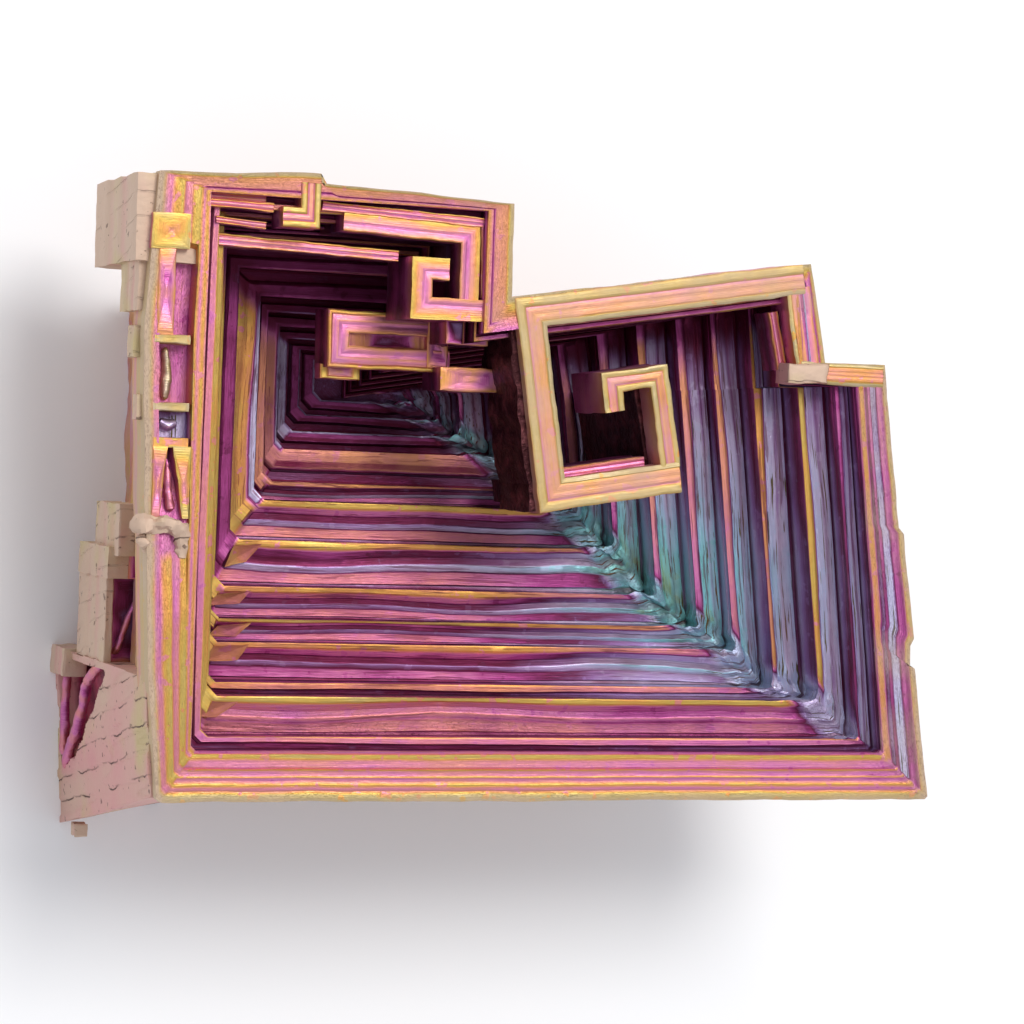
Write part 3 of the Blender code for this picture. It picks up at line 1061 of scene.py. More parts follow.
    @staticmethod
    def _cool(plan: np.ndarray, film: np.ndarray, ledge: int) -> np.ndarray:
        """How much thicker the film gets towards the front right, where it turns blue.

        Args:
            plan: The loop's x, y rows.
            film: Film of each column.
            ledge: Which ledge the loop is on.

        Returns:
            Film to add to each column.
        """
        deep = np.full(len(plan), float(ledge))
        cool = smoothstep(-6.0, 15.0, plan[:, 0]) * smoothstep(7.0, -7.0, plan[:, 1])
        cool = cool * (0.6 + 2.5 * smoothstep(0.5, 3.5, deep) * smoothstep(24.0, 12.0, plan[:, 0]))
        return cool * (0.45 + 0.55 * smoothstep(3.6, 4.6, film))

    def _wall_ends(self, ledge: int) -> np.ndarray:
        """How near each column is to the ends of the bay and of the left wall, where colours run together and painted
        shade is laid.

        Args:
            ledge: Which ledge the loop is on.

        Returns:
            1 at the ends to 0 away from them.
        """
        column = np.arange(sum(self.ring.counts))
        bay, left = self.ring.first(Side.BAY_BACK), self.ring.first(Side.LEFT)
        to_bay = smoothstep(7.0 + 4.0 * math.sin(ledge * 2.1), 0.0, np.abs(column - bay + 1.0)) * (ledge > 0)
        to_left = smoothstep(9.0 + 4.0 * math.sin(ledge * 1.7), 1.0, np.abs(column - left)) * (1 < ledge < 11)
        return np.maximum(to_bay, to_left)

    def _painted_shade(self, height: np.ndarray, ends: np.ndarray, ledge: int) -> np.ndarray:
        """How much painted shade each column gets: dark in the bay behind the spiral frame and at the ends of walls,
        deepening down the back wall and into the deep pit.

        Args:
            height: Height of each column.
            ends: How near each column is to the end of its wall.
            ledge: Which ledge the loop is on.

        Returns:
            Painted shade of each column.
        """
        column = np.arange(len(height))
        bay, back, left = (self.ring.first(side) for side in (Side.BAY_BACK, Side.BACK, Side.LEFT))
        in_bay, in_back = (column >= bay) & (column < back), (column >= back) & (column < left)
        painted_shade = np.maximum(np.where(in_bay & (ledge > 0), 0.85, 0.0), ends * 0.55)
        painted_shade = np.maximum(painted_shade, np.where(in_back, min(0.45, 0.05 * ledge), 0.0))
        return np.maximum(painted_shade, smoothstep(*self.shade_depths, -height) * 0.25)


# Loops up each ledge of the flanks: share of its height, how far it stands out, film.
FLANK_STEPS = ((0.0, 0.0, 4.6), (0.05, 0.1, 3.4), (0.28, -0.02, 2.6), (0.31, -0.16, 5.0), (0.34, 0.0, 2.8),
               (0.6, -0.08, 3.6), (0.64, 0.06, 1.6), (0.9, 0.16, 1.4), (1.0, 0.14, 2.2))
# Loops up the rim's edge: depth, how far it stands out, film.
RIM_EDGE = ((3.4, -0.12, 1.2), (3.3, 0.0, 2.6), (2.9, -0.1, 4.4), (2.2, -0.14, 1.4), (2.1, 0.0, 1.0),
            (1.2, -0.06, 1.8), (1.1, 0.02, 0.8), (0.25, 0.0, 1.0))
# Shares of the way across the rim's top that get a loop.
RIM_SHARES = (0.0, 0.04, 0.13, 0.16, 0.2, 0.24, 0.26, 0.33, 0.37, 0.42, 0.46, 0.48, 0.52, 0.56, 0.6, 0.63,
              0.65, 0.68, 0.74, 0.78, 0.8, 0.87, 0.93, 0.95, 0.99)
# Pale crust on the rim's edge and on its top, dullness and crumpling of the top, one value per side.
EDGE_CRUST = (0.7, *(0.3,) * 8, 0.7)
RIM_CRUST = (1.3, 0.7, 0.7, 0.6, 0.5, 0.5, 0.5, 0.6, 0.7, 1.3)
RIM_DULL = (0.0, 0.05, 0.4, 0.35, *(0.1,) * 6)
RIM_ROUGH = (0.3, 0.1, 0.5, 0.6, *(0.3,) * 6)
# Loops down each wall of the pit: share of its height, how far it is undercut.
RISER_STEPS = ((0.08, 0.0), (0.34, 0.06), (0.4, 0.0), (0.9, 0.06))
# Loops across the pit's floor, and its film.
FLOOR_SHARES = (0.3, 0.7, 0.98)
FLOOR_FILM = 6.2
# Profiles: share of the way, height, film.
RIM = side_profiles(
    front=Profile(((0.0, -0.03, 0.8), (0.04, 0.0, 0.9), (0.13, 0.0, 1.2), (0.15, -0.02, 1.8), (0.2, -0.05, 3.4),
                   (0.22, 0.0, 4.2), (0.31, 0.0, 4.0), (0.33, 0.03, 2.0), (0.36, 0.0, 2.2), (0.38, -0.06, 4.4),
                   (0.46, 0.0, 4.2), (0.48, 0.02, 2.2), (0.5, -0.02, 4.4), (0.6, 0.0, 4.0), (0.63, 0.03, 2.0),
                   (0.65, -0.06, 4.2), (0.68, 0.0, 4.2), (0.8, 0.0, 4.0), (0.82, 0.03, 1.9), (0.93, 0.04, 1.8),
                   (0.95, -0.05, 4.2), (1.0, 0.0, 4.6))),
    right=Profile(((0.0, -0.03, 0.9), (0.04, 0.0, 1.4), (0.13, 0.0, 1.9), (0.16, -0.06, 4.4), (0.2, 0.0, 4.8),
                   (0.32, 0.0, 4.2), (0.36, 0.02, 4.6), (0.42, -0.05, 7.3), (0.56, 0.0, 7.4), (0.6, 0.0, 4.7),
                   (0.66, 0.0, 4.6), (0.7, -0.05, 6.9), (0.78, 0.0, 4.3), (0.81, 0.03, 2.4), (0.92, 0.03, 2.1),
                   (0.95, -0.05, 4.6), (1.0, 0.0, 5.4))),
    bay=Profile(((0.0, 0.0, 1.0), (0.3, 0.0, 2.0), (0.6, -0.1, 3.6), (1.0, 0.0, 5.0))),
    back=Profile(((0.0, 0.0, 1.0), (0.13, 0.0, 1.3), (0.24, -0.03, 3.2), (0.68, -0.05, 3.6), (0.74, -0.12, 5.6),
                  (0.8, 0.0, 4.2), (0.95, 0.0, 2.6), (1.0, 0.0, 3.0))),
    left=Profile(((0.0, -0.03, 0.7), (0.04, 0.0, 0.9), (0.12, 0.0, 1.2), (0.14, -0.05, 3.8), (0.18, 0.0, 4.3),
                  (0.3, 0.0, 4.2), (0.33, 0.03, 2.4), (0.42, 0.0, 2.0), (0.5, 0.0, 1.9), (0.52, -0.05, 4.0),
                  (0.56, 0.0, 4.2), (0.64, 0.0, 3.9), (0.67, 0.04, 2.0), (0.82, 0.04, 1.8), (0.85, -0.05, 4.2),
                  (0.89, 0.0, 4.4), (0.92, 0.0, 2.4), (0.97, 0.0, 2.4), (1.0, 0.0, 4.8))),
)
RISERS = side_profiles(
    front=Profile(((0.0, 0.0, 2.8), (0.2, 0.0, 4.4), (0.5, 0.0, 5.6), (1.0, 0.0, 6.4))),
    right=Profile(((0.0, 0.0, 4.8), (0.1, 0.0, 5.4), (0.4, 0.0, 5.7), (0.5, 0.0, 6.9), (1.0, 0.0, 7.1))),
    bay=Profile(((0.0, 0.0, 3.4), (0.3, 0.0, 5.0), (1.0, 0.0, 6.2))),
    back=Profile(((0.0, 0.0, 3.0), (0.3, 0.0, 4.8), (0.6, 0.0, 5.8), (1.0, 0.0, 6.2))),
    left=Profile(((0.0, 0.0, 3.0), (0.3, 0.0, 4.6), (0.6, 0.0, 5.8), (1.0, 0.0, 6.2))),
)


def tread(groove: float, flat: float, line: float, slope: float, shade: float, face: float, lip: float) -> Profile:
    """Bands across one ledge, from the groove at the foot of its wall to the raised lip at its edge.

    Args:
        groove: Film in the groove at the foot.
        flat: Film of the flat next to it.
        line: Film of the fine line at the end of the flat.
        slope: Film of the slope beyond.
        shade: Film of the sunk band.
        face: Film of the face up to the lip.
        lip: Film of the lip.

    Returns:
        The ledge's profile.
    """
    return Profile(((0.0, -0.02, groove), (0.05, -0.04, line), (0.08, 0.05, flat), (0.31, 0.06, flat),
                    (0.35, -0.03, line), (0.47, 0.02, slope), (0.51, -0.03, shade), (0.65, 0.0, shade),
                    (0.7, 0.1, face), (0.8, 0.16, face), (0.87, 0.28, lip), (0.97, 0.31, lip), (1.0, 0.27, lip)))


def strip(foot: float, line: float, main: float, lip: float) -> Profile:
    """Bands across a narrow ledge: a sunk foot, a fine line and one broad raised strip.

    Args:
        foot: Film of the foot.
        line: Film of the fine line.
        main: Film of the strip.
        lip: Film of its edge.

    Returns:
        The ledge's profile.
    """
    return Profile(((0.0, -0.04, foot), (0.3, -0.02, foot), (0.34, 0.12, line), (0.42, 0.28, main),
                    (0.86, 0.3, main), (0.93, 0.3, lip), (1.0, 0.26, lip)))


def step(foot: float, flat: float, line: float, lip: float) -> Profile:
    """Bands across a ledge of the right wall: a broad rough flat with a narrow bright lip.

    Args:
        foot: Film at the foot.
        flat: Film of the flat.
        line: Film of the groove before the lip.
        lip: Film of the lip.

    Returns:
        The ledge's profile.
    """
    return Profile(((0.0, -0.05, foot), (0.05, -0.04, foot), (0.08, 0.06, flat), (0.31, 0.1, flat - 0.4),
                    (0.35, 0.0, flat - 0.8), (0.47, 0.04, flat), (0.65, 0.12, flat), (0.7, 0.02, line),
                    (0.8, 0.22, lip), (0.87, 0.26, lip), (1.0, 0.27, lip)))


SILVER, STRAW, YELLOW, GOLD, PEACH, PINK, ORCHID, MAGENTA, PLUM, VIOLET, LAVENDER, BLUE, TEAL, MINT = map(float, Film)
FRONT_TREADS = (
    strip(PLUM, PINK, PINK, GOLD),
    tread(PINK, 3.9, 4.6, 3.7, 4.3, PINK, 1.8),
    strip(PLUM, MAGENTA, PEACH, GOLD),
    tread(PLUM, 4.7, PLUM, 6.9, 5.7, 4.6, GOLD),
    tread(PLUM, 4.5, 7.0, 7.2, PLUM, MAGENTA, YELLOW),
    tread(PLUM, PINK, 6.8, 7.2, 5.9, 4.4, GOLD),
    tread(PLUM, 4.0, 7.4, 7.6, 5.8, 5.6, 2.3),
    tread(7.0, 3.9, 7.6, 7.2, PLUM, 4.8, 2.2),
    tread(PLUM, 4.4, LAVENDER, 7.8, 6.2, PLUM, 3.0),
    strip(PLUM, LAVENDER, 3.4, PEACH),
    strip(PLUM, PLUM, 5.2, LAVENDER),
    strip(PLUM, VIOLET, 5.5, LAVENDER),
    strip(PLUM, PLUM, 5.3, 7.6),
)
LEFT_TREADS = (
    strip(PLUM, PINK, PINK, YELLOW),
    strip(MAGENTA, YELLOW, YELLOW, 2.3),
    strip(PLUM, YELLOW, YELLOW, YELLOW),
    *(strip(PLUM, PLUM, YELLOW, YELLOW),) * 3,
    strip(PLUM, MAGENTA, 5.3, 5.8),
    Profile(((0.0, -0.05, 5.8), (0.04, -0.04, 5.8), (0.08, 0.1, 2.0), (0.5, 0.22, 2.3), (0.7, 0.24, 2.6),
             (0.78, 0.24, 2.8), (0.82, 0.08, 8.0), (0.93, 0.25, 7.6), (1.0, 0.2, 8.0))),
    strip(4.2, 7.4, 3.3, 3.6),
    strip(3.4, 3.6, 3.4, 7.6),
    strip(7.8, 7.4, 7.7, 7.2),
    strip(PLUM, VIOLET, 5.4, 7.6),
    strip(PLUM, PLUM, 5.4, 7.8),
)
RIGHT_TREADS = (
    step(PLUM, 7.4, VIOLET, 5.2),
    step(PLUM, 7.7, 7.9, YELLOW),
    step(6.2, 7.8, 7.9, GOLD),
    step(6.4, 7.7, 7.8, 3.2),
    step(6.2, 7.7, 7.6, 3.6),
    step(PLUM, 7.5, 7.8, 3.2),
    step(6.3, 7.6, 7.8, 3.8),
    step(6.3, 7.7, 7.8, 3.6),
    *(step(6.3, 7.8, 8.0, 4.4),) * 5,
)
BACK_TREADS = (
    strip(PLUM, PINK, PEACH, YELLOW), strip(PLUM, PINK, PINK, GOLD), strip(PLUM, MAGENTA, 4.6, PEACH),
    strip(PLUM, PINK, 5.0, PINK), strip(PLUM, PINK, PEACH, PEACH), strip(PLUM, 4.6, 3.6, 2.6),
    strip(PLUM, MAGENTA, 5.4, 4.4), strip(PLUM, PLUM, 5.4, 5.0), strip(PLUM, PLUM, 5.6, 7.2),
    strip(PLUM, PLUM, 5.4, 5.0), strip(PLUM, PLUM, 5.3, 7.2), strip(PLUM, PLUM, 5.5, 5.2),
    strip(PLUM, PLUM, 5.3, 5.0),
)
BAY_TREAD = strip(PLUM, 5.4, 5.0, 3.8)
# Shares of the way across a ledge that get a loop.
SHARES = (0.0, 0.05, 0.08, 0.31, 0.35, 0.47, 0.51, 0.65, 0.7, 0.8, 0.87, 0.9, 0.97, 1.0)


def band(path: list[Point], width: float) -> list[Point]:
    """Outline of a strip that follows a path with square corners.

    Args:
        path: Corners of the path.
        width: Width of the strip.

    Returns:
        Its outline, the right side first.
    """
    normals = []
    for start, end in zip(path, path[1:]):
        length = math.dist(start, end)
        normals.append(((start[1] - end[1]) / length, (end[0] - start[0]) / length))
    left, right = [], []
    for point, before, after in zip(path, normals[:1] + normals, normals + normals[-1:]):
        nx, ny = before[0] + after[0], before[1] + after[1]
        reach = width / 2 / (nx * before[0] + ny * before[1])
        left.append((point[0] + nx * reach, point[1] + ny * reach))
        right.append((point[0] - nx * reach, point[1] - ny * reach))
    return right + left[::-1]


# Shares of the way in across the top of a growth that get a loop.
CROWN_SHARES = (0.0, 0.05, 0.12, 0.2, 0.28, 0.36, 0.44, 0.52, 0.6, 0.68, 0.76, 0.84, 0.92, 0.985)


@dataclass
class Growth:
    """A straight-sided bar or block with banded top and grooved walls."""

    name: str
    outline: list[Point]
    top: float
    bottom: float
    crown: Profile
    wall: Profile
    other_crown: Profile | None = None
    core: float = 1.0
    pitch: float = 0.3
    wear: float = 0.08
    dull: float = 0.15
    seed: float = 1.0
    path: list[Point] | None = None
    width: float = 1.0
    finish: Finish = Finish.FILM

    def build(self) -> bpy.types.Object:
        """Make the piece from its foot up its walls and across its top.

        Returns:
            The new object.
        """
        outline = self._plan(0.0)
        sides = list(zip(outline, outline[1:] + outline[:1]))
        ring = Ring(tuple(max(2, round(math.dist(a, b) / self.pitch)) for a, b in sides))
        first = len(self.path) - 1 if self.path else len(sides)
        crowns = [self.crown if index < first else self.other_crown or self.crown for index in range(len(sides))]
        skin = Skin(self.name)
        edge = ring.corners(outline)
        out = outward(edge)
        rough = steppy(ripple(edge, 2.6, self.seed), 3) * self.wear + ripple(edge, 0.9, self.seed + 5) * self.wear * 0.5
        tall = self.bottom - self.top
        for share in self._wall_shares():
            height, film = ring.read([self.wall] * len(sides), share)
            low = -self.bottom + tall * share
            plan = edge + out * (height + rough + self.wear * 0.5 * ripple(lift(edge, low), 1.6, self.seed))[:, None]
            drift = 0.7 * ripple(lift(plan, low), 2.6, self.seed)
            skin.add(lift(plan, low), np.clip(film + drift, 0, THICKEST), self.dull)
        for share in CROWN_SHARES:
            height, film = ring.read(crowns, share)
            plan = ring.corners(self._plan(share)) + out * (rough * (1 - share))[:, None]
            drift = 0.5 * ripple(plan, 3.0, self.seed) + (0.3 if self.path else 1.4) * ripple(plan, 1.3, self.seed + 2)
            height = height - self.top + 0.02 * ripple(plan, 1.5, self.seed)
            skin.add(lift(plan, height), np.clip(film + drift, 0, THICKEST), self.dull)
        return skin.build()

    def _wall_shares(self) -> np.ndarray:
        """Shares of the wall's height that get a loop, foot first."""
        count = max(4, min(24, round((self.bottom - self.top) / 0.35)))
        return np.linspace(0.0, 0.985, count)

    def _plan(self, share: float) -> list[Point]:
        """Outline part of the way in across the top.

        Args:
            share: Way in, 0 to 1.

        Returns:
            The outline there.
        """
        if self.path:
            return band(self.path, self.width * (1 - share * self.core))
        mx, my = (sum(axis) / len(self.outline) for axis in zip(*self.outline))
        keep = 1 - share * self.core
        return [(mx + (x - mx) * keep, my + (y - my) * keep) for x, y in self.outline]


def bar(name: str, path: list[Point], width: float, top: float, bottom: float, **style: object) -> Growth:
    """A growth that follows a path.

    Args:
        name: Name of the piece.
        path: Corners of its middle line.
        width: Width of the bar.
        top: Depth of its top.
        bottom: Depth of its foot.
        style: Any other field of the growth.

    Returns:
        The growth, ready to build.
    """
    return Growth(name, [], top, bottom, path=path, width=width, **style)


def block(name: str, x: Point, y: Point, top: float, bottom: float, **style: object) -> Growth:
    """A square growth.

    Args:
        name: Name of the piece.
        x: Where it starts and ends along X.
        y: Where it starts and ends along Y.
        top: Depth of its top.
        bottom: Depth of its foot.
        style: Any other field of the growth.

    Returns:
        The growth, ready to build.
    """
    outline = [(x[0], y[0]), (x[1], y[0]), (x[1], y[1]), (x[0], y[1])]
    return Growth(name, outline, top, bottom, **style)


FRAME_OUTER = Profile(((0.0, -0.05, 0.8), (0.1, 0.0, 0.9), (0.28, 0.02, 1.1), (0.36, -0.03, 2.4), (0.44, 0.0, 3.0),
                       (0.7, 0.0, 3.3), (0.8, -0.02, 3.0), (1.0, 0.0, 3.4)))
FRAME_INNER = Profile(((0.0, -0.02, 2.6), (0.08, 0.04, 1.5), (0.2, 0.05, 1.3), (0.5, 0.05, 1.5), (0.6, 0.0, 2.0),
                       (0.66, -0.05, 4.2), (0.78, -0.02, 4.0), (0.84, 0.0, 3.4), (1.0, 0.0, 3.4)))
ARM_OUTER = Profile(((0.0, -0.02, 0.9), (0.1, 0.02, 1.2), (0.4, 0.0, 1.4), (0.6, -0.05, 3.8), (1.0, 0.0, 3.4)))
CHIP_CROWN = Profile(((0.0, -0.1, 0.6), (0.2, 0.0, 0.0), (1.0, 0.06, 0.0)))
LIP_CROWN = Profile(((0.0, -0.02, 3.0), (0.1, 0.05, 2.2), (0.3, 0.05, 2.6), (0.45, -0.05, 4.0), (0.7, 0.0, 4.4),
                     (1.0, 0.02, 3.4)))
PINK_CROWN = Profile(((0.0, 0.0, 2.8), (0.12, 0.04, 3.2), (0.4, 0.02, 4.2), (0.7, -0.04, 4.6), (1.0, 0.0, 4.2)))
BLOCK_CROWN = Profile(((0.0, -0.02, 1.4), (0.2, 0.02, 1.9), (0.8, 0.0, 2.6), (1.0, -0.05, 3.4)))
BAND_CROWN = Profile(((0.0, 0.0, 2.0), (0.3, 0.0, 2.2), (0.6, 0.0, 3.2), (1.0, 0.0, 3.8)))
BOWL_CROWN = Profile(((0.0, 0.1, 4.4), (0.3, 0.0, 3.6), (0.5, -0.12, 3.0), (0.7, -0.25, 5.6), (1.0, -0.3, 6.0)))
PURPLE_CROWN = Profile(((0.0, 0.0, 3.4), (0.12, 0.03, 5.2), (0.4, 0.0, 6.6), (1.0, 0.0, 7.0)))
PALE_CROWN = Profile(((0.0, -0.02, 0.8), (0.2, 0.02, 1.1), (1.0, 0.0, 1.4)))
DARK_WALL = Profile(((0.0, 0.0, 6.0), (0.4, 0.06, 5.6), (0.5, -0.04, 6.2), (0.8, 0.03, 5.0), (1.0, 0.0, 3.2)))
PINK_WALL = Profile(((0.0, 0.0, 5.6), (0.4, 0.05, 4.6), (0.5, -0.05, 4.8), (0.8, 0.03, 4.0), (1.0, 0.0, 2.6)))
PALE_WALL = Profile(((0.0, 0.0, 1.8), (0.3, 0.08, 1.2), (0.36, -0.06, 2.8), (0.6, 0.05, 1.4), (0.66, -0.08, 3.2),
                     (0.9, 0.04, 1.2), (1.0, 0.0, 1.0)))
FACET_CROWN = Profile(((0.0, 0.02, 2.6), (0.3, 0.0, 3.0), (1.0, -0.04, 3.0)))
CRUST_WALL = Profile(((0.0, 0.0, 6.0), (0.5, 0.0, 5.6), (1.0, 0.0, 5.8)))
PLASTER = {"crown": PALE_CROWN, "wall": PALE_WALL, "finish": Finish.PALE}


@dataclass
class SpiralFrame(SubAssembly):
    """The square spiral that grew over the pit, with its well, ledges and rough outer wall."""

    path: tuple[Point, ...] = ((21.2, 13.3), (1.0, 13.3), (1.0, 1.0), (10.35, 1.0))
    arm: tuple[Point, ...] = ((9.74, 1.75), (9.62, 7.98), (6.2, 7.98), (6.2, 6.0))
    width: float = 2.05
    arm_width: float = 1.42
    depth: float = 5.6
    well: tuple[Point, ...] = ((1.5, 0.9), (9.7, 0.9), (9.4, 7.3))
    ledge_back: tuple[Point, ...] = ((1.9, 12.2), (20.3, 12.2))
    ledge_front: tuple[Point, ...] = ((1.8, 2.2), (8.5, 2.2))
    crust: tuple[Point, ...] = ((-0.1, 0.1), (-0.1, 14.1))

    def build(self) -> list[bpy.types.Object]:
        """Make the frame's pieces.

        Returns:
            The new objects.
        """
        return self.grow((
            bar("spiral_frame", self._plan(self.path), self.width, 0.0, self.depth, crown=FRAME_INNER,
                other_crown=FRAME_OUTER, wall=PINK_WALL, pitch=0.22, dull=0.42, seed=11.0),
            bar("spiral_arm", self._plan(self.arm), self.arm_width, 0.03, self.depth, crown=ARM_OUTER,
                other_crown=FRAME_INNER, wall=PINK_WALL, pitch=0.22, dull=0.3, seed=16.0),
            # The well's dark finish is painted shade for its depth.
            bar("spiral_well", self._plan(self.well), 1.6, 2.2, 13.2, crown=PINK_CROWN, wall=CRUST_WALL,
                dull=0.5, seed=12.0, finish=Finish.DARK),
            bar("frame_ledge_back", self._plan(self.ledge_back), 0.9, 1.5, 5.2, crown=LIP_CROWN,
                wall=PINK_WALL, seed=13.0),
            bar("frame_ledge_front", self._plan(self.ledge_front), 0.9, 1.5, 5.2, crown=PINK_CROWN,
                wall=DARK_WALL, seed=14.0),
            # The wall under the frame's left side takes the dark finish, painted shade.
            bar("frame_crust", self._plan(self.crust), 0.8, 0.7, 6.4, crown=CRUST_WALL,
                wall=CRUST_WALL, pitch=0.2, wear=0.3, dull=0.75, seed=15.0, finish=Finish.DARK),
        ))

    @staticmethod
    def _plan(path: tuple[Point, ...]) -> list[Point]:
        """Turn a path of the frame's grid into the crystal's plan."""
        return [from_spiral(point) for point in path]


@dataclass
class BackHooks(SubAssembly):
    """Bars and blocks of the back-left bay that end in square hooks."""

    growths: tuple[Growth, ...] = (
        bar("hook_rim", [(-16.6, 19.3), (-16.6, 17.05), (-18.45, 17.05)], 1.3, 0.0, 2.7, crown=FRAME_INNER,
            wall=PINK_WALL, seed=21.0),
        bar("bar_upper", [(-24.7, 17.75), (-18.9, 17.6)], 0.55, 0.7, 2.1, crown=LIP_CROWN, wall=PINK_WALL,
            seed=22.0),
        bar("bar_lower", [(-22.6, 16.65), (-19.3, 16.45)], 0.45, 1.0, 3.5, crown=LIP_CROWN, wall=DARK_WALL,
            seed=23.0),
        bar("hook_long", [(-14.1, 17.1), (-5.3, 16.75), (-5.3, 11.6)], 1.3, 0.8, 6.2, crown=PINK_CROWN,
            other_crown=BAND_CROWN, wall=DARK_WALL, seed=24.0),
        bar("hook_open", [(-6.85, 14.3), (-8.7, 14.3), (-8.7, 11.7), (-4.2, 11.7)], 1.45, 0.4, 5.7,
            crown=BAND_CROWN, other_crown=PINK_CROWN, wall=DARK_WALL, seed=25.0),
        bar("hook_deep", [(-4.3, 10.8), (-12.4, 10.8), (-12.4, 8.4), (-4.5, 8.4)], 1.5, 6.6, 9.6,
            crown=LIP_CROWN, other_crown=PINK_CROWN, wall=DARK_WALL, seed=26.0),
        block("hook_deep_bowl", (-12.0, -4.9), (8.7, 10.6), 7.0, 8.6, crown=BOWL_CROWN, wall=DARK_WALL, seed=35.0,
              dull=-0.25),
        block("block_purple", (-6.1, -4.6), (7.9, 11.3), 6.55, 10.2, crown=PINK_CROWN, wall=DARK_WALL, seed=27.0),
        bar("ledge_back", [(-15.6, 17.98), (-4.3, 17.55), (-4.1, 12.6)], 0.62, 0.75, 3.4, crown=PINK_CROWN,
            other_crown=LIP_CROWN, wall=DARK_WALL, seed=36.0),
        bar("ledge_back_left", [(-23.0, 18.15), (-19.4, 18.1)], 0.6, 0.9, 3.4, crown=LIP_CROWN, wall=DARK_WALL,
            seed=37.0),
        bar("back_lip", [(-22.1, 15.5), (-16.0, 15.3), (-9.8, 15.1)], 0.75, 2.3, 4.2, crown=PINK_CROWN,
            other_crown=LIP_CROWN, wall=DARK_WALL, seed=38.0),
        block("block_gold", (-13.3, -10.5), (6.9, 7.9), 7.6, 8.9, crown=LIP_CROWN, wall=PINK_WALL, seed=28.0),
        block("block_shelf", (-6.0, -3.0), (9.5, 11.1), 3.1, 7.2, crown=PURPLE_CROWN, wall=DARK_WALL, seed=29.0),
        block("block_pink", (-5.7, -0.9), (6.4, 8.0), 4.8, 8.6, crown=PINK_CROWN, wall=DARK_WALL, seed=30.0),
        bar("bay_wall_side", [(18.4, 14.5), (19.5, 8.6)], 1.75, 0.05, 3.0, crown=FRAME_OUTER,
            other_crown=PINK_CROWN, wall=PINK_WALL, seed=31.0),
        bar("bay_ledge_side", [(17.3, 12.8), (18.2, 8.9)], 0.7, 1.6, 4.0, crown=PINK_CROWN,
            other_crown=LIP_CROWN, wall=DARK_WALL, seed=33.0),
        bar("bay_wall_front", [(18.9, 8.7), (25.2, 8.7)], 1.5, 0.0, 3.0, crown=FRAME_OUTER, wall=PINK_WALL,
            seed=32.0),
        block("chip_facet", (17.9, 20.9), (7.95, 9.3), -0.12, 2.0, crown=CHIP_CROWN, wall=PINK_WALL, seed=34.0,
              wear=0.2, dull=0.6, finish=Finish.PALE),
    )

    def build(self) -> list[bpy.types.Object]:
        """Make the hooks, bars and blocks."""
        return self.grow(self.growths)


@dataclass
class PitFacets(SubAssembly):
    """Slanted glossy steps where the front ledges meet the left wall."""

    height: float = 0.9
    tops: tuple[float, ...] = (2.75, 7.2, 8.5, 10.2, 12.2)
    corners: tuple[tuple[Point, ...], ...] = (
        ((-22.1, -15.6), (-20.9, -15.6), (-19.2, -14.35), (-21.8, -14.5)),
        ((-20.7, -12.3), (-18.4, -12.2), (-17.6, -11.1), (-20.1, -11.3)),
        ((-20.2, -10.7), (-18.2, -10.7), (-17.2, -9.75), (-19.5, -10.0)),
        ((-19.9, -8.7), (-17.6, -8.6), (-16.8, -7.65), (-19.1, -8.0)),
        ((-18.2, -6.2), (-16.7, -5.8), (-15.6, -4.55), (-17.6, -4.7)),
    )

    def build(self) -> list[bpy.types.Object]:
        """Make one step per ledge.

        Returns:
            The new objects.
        """
        steps = enumerate(zip(self.tops, self.corners), start=1)
        return self.grow(tuple(
            Growth(f"pit_facet_{index}", list(corners), top, top + self.height, FACET_CROWN, PINK_WALL,
                   seed=80.0 + index, dull=-0.5, pitch=0.16)
            for index, (top, corners) in steps))


@dataclass
class Branch:
    """A round, knobbly ridge that follows a path through space."""

    name: str
    path: tuple[tuple[float, float, float], ...]
    radii: tuple[float, ...]
    film: float
    lumps: float = 0.12
    dull: float = 0.0
    finish: Finish = Finish.FILM

    def build(self) -> bpy.types.Object:
        """Make the ridge.

        Returns:
            The new object.
        """
        corners = np.array(self.path, float)
        reach = np.concatenate(([0.0], np.cumsum(np.linalg.norm(np.diff(corners, axis=0), axis=1))))
        stops = np.linspace(0.0, reach[-1], max(8, round(reach[-1] / 0.16)))
        middle = np.column_stack([np.interp(stops, reach, corners[:, axis]) for axis in range(3)])
        radii = np.interp(stops, reach, self.radii) * np.sqrt(np.clip(
            1 - np.abs(2 * stops / reach[-1] - 1) ** 12, 0.02, 1))
        along = np.gradient(middle, axis=0)
        along /= np.linalg.norm(along, axis=1, keepdims=True)
        side = np.cross(along, (0.3, 0.2, 1.0))
        side /= np.linalg.norm(side, axis=1, keepdims=True)
        over = np.cross(side, along)
        turn = np.linspace(0, 2 * np.pi, 16, endpoint=False)
        skin = Skin(self.name)
        for point, radius, one, other in zip(middle, radii, side, over):
            loop = point + radius * (np.cos(turn)[:, None] * one + np.sin(turn)[:, None] * other)
            swell = self.lumps * (ripple(loop, 0.9, self.film) + 0.7 * ripple(loop, 0.35, self.film))
            loop = loop + (loop - point) / radius * swell[:, None]
            skin.add(loop, np.clip(self.film + 1.2 * ripple(loop, 1.2, 3.0), 0, THICKEST), self.dull)
        return skin.build()


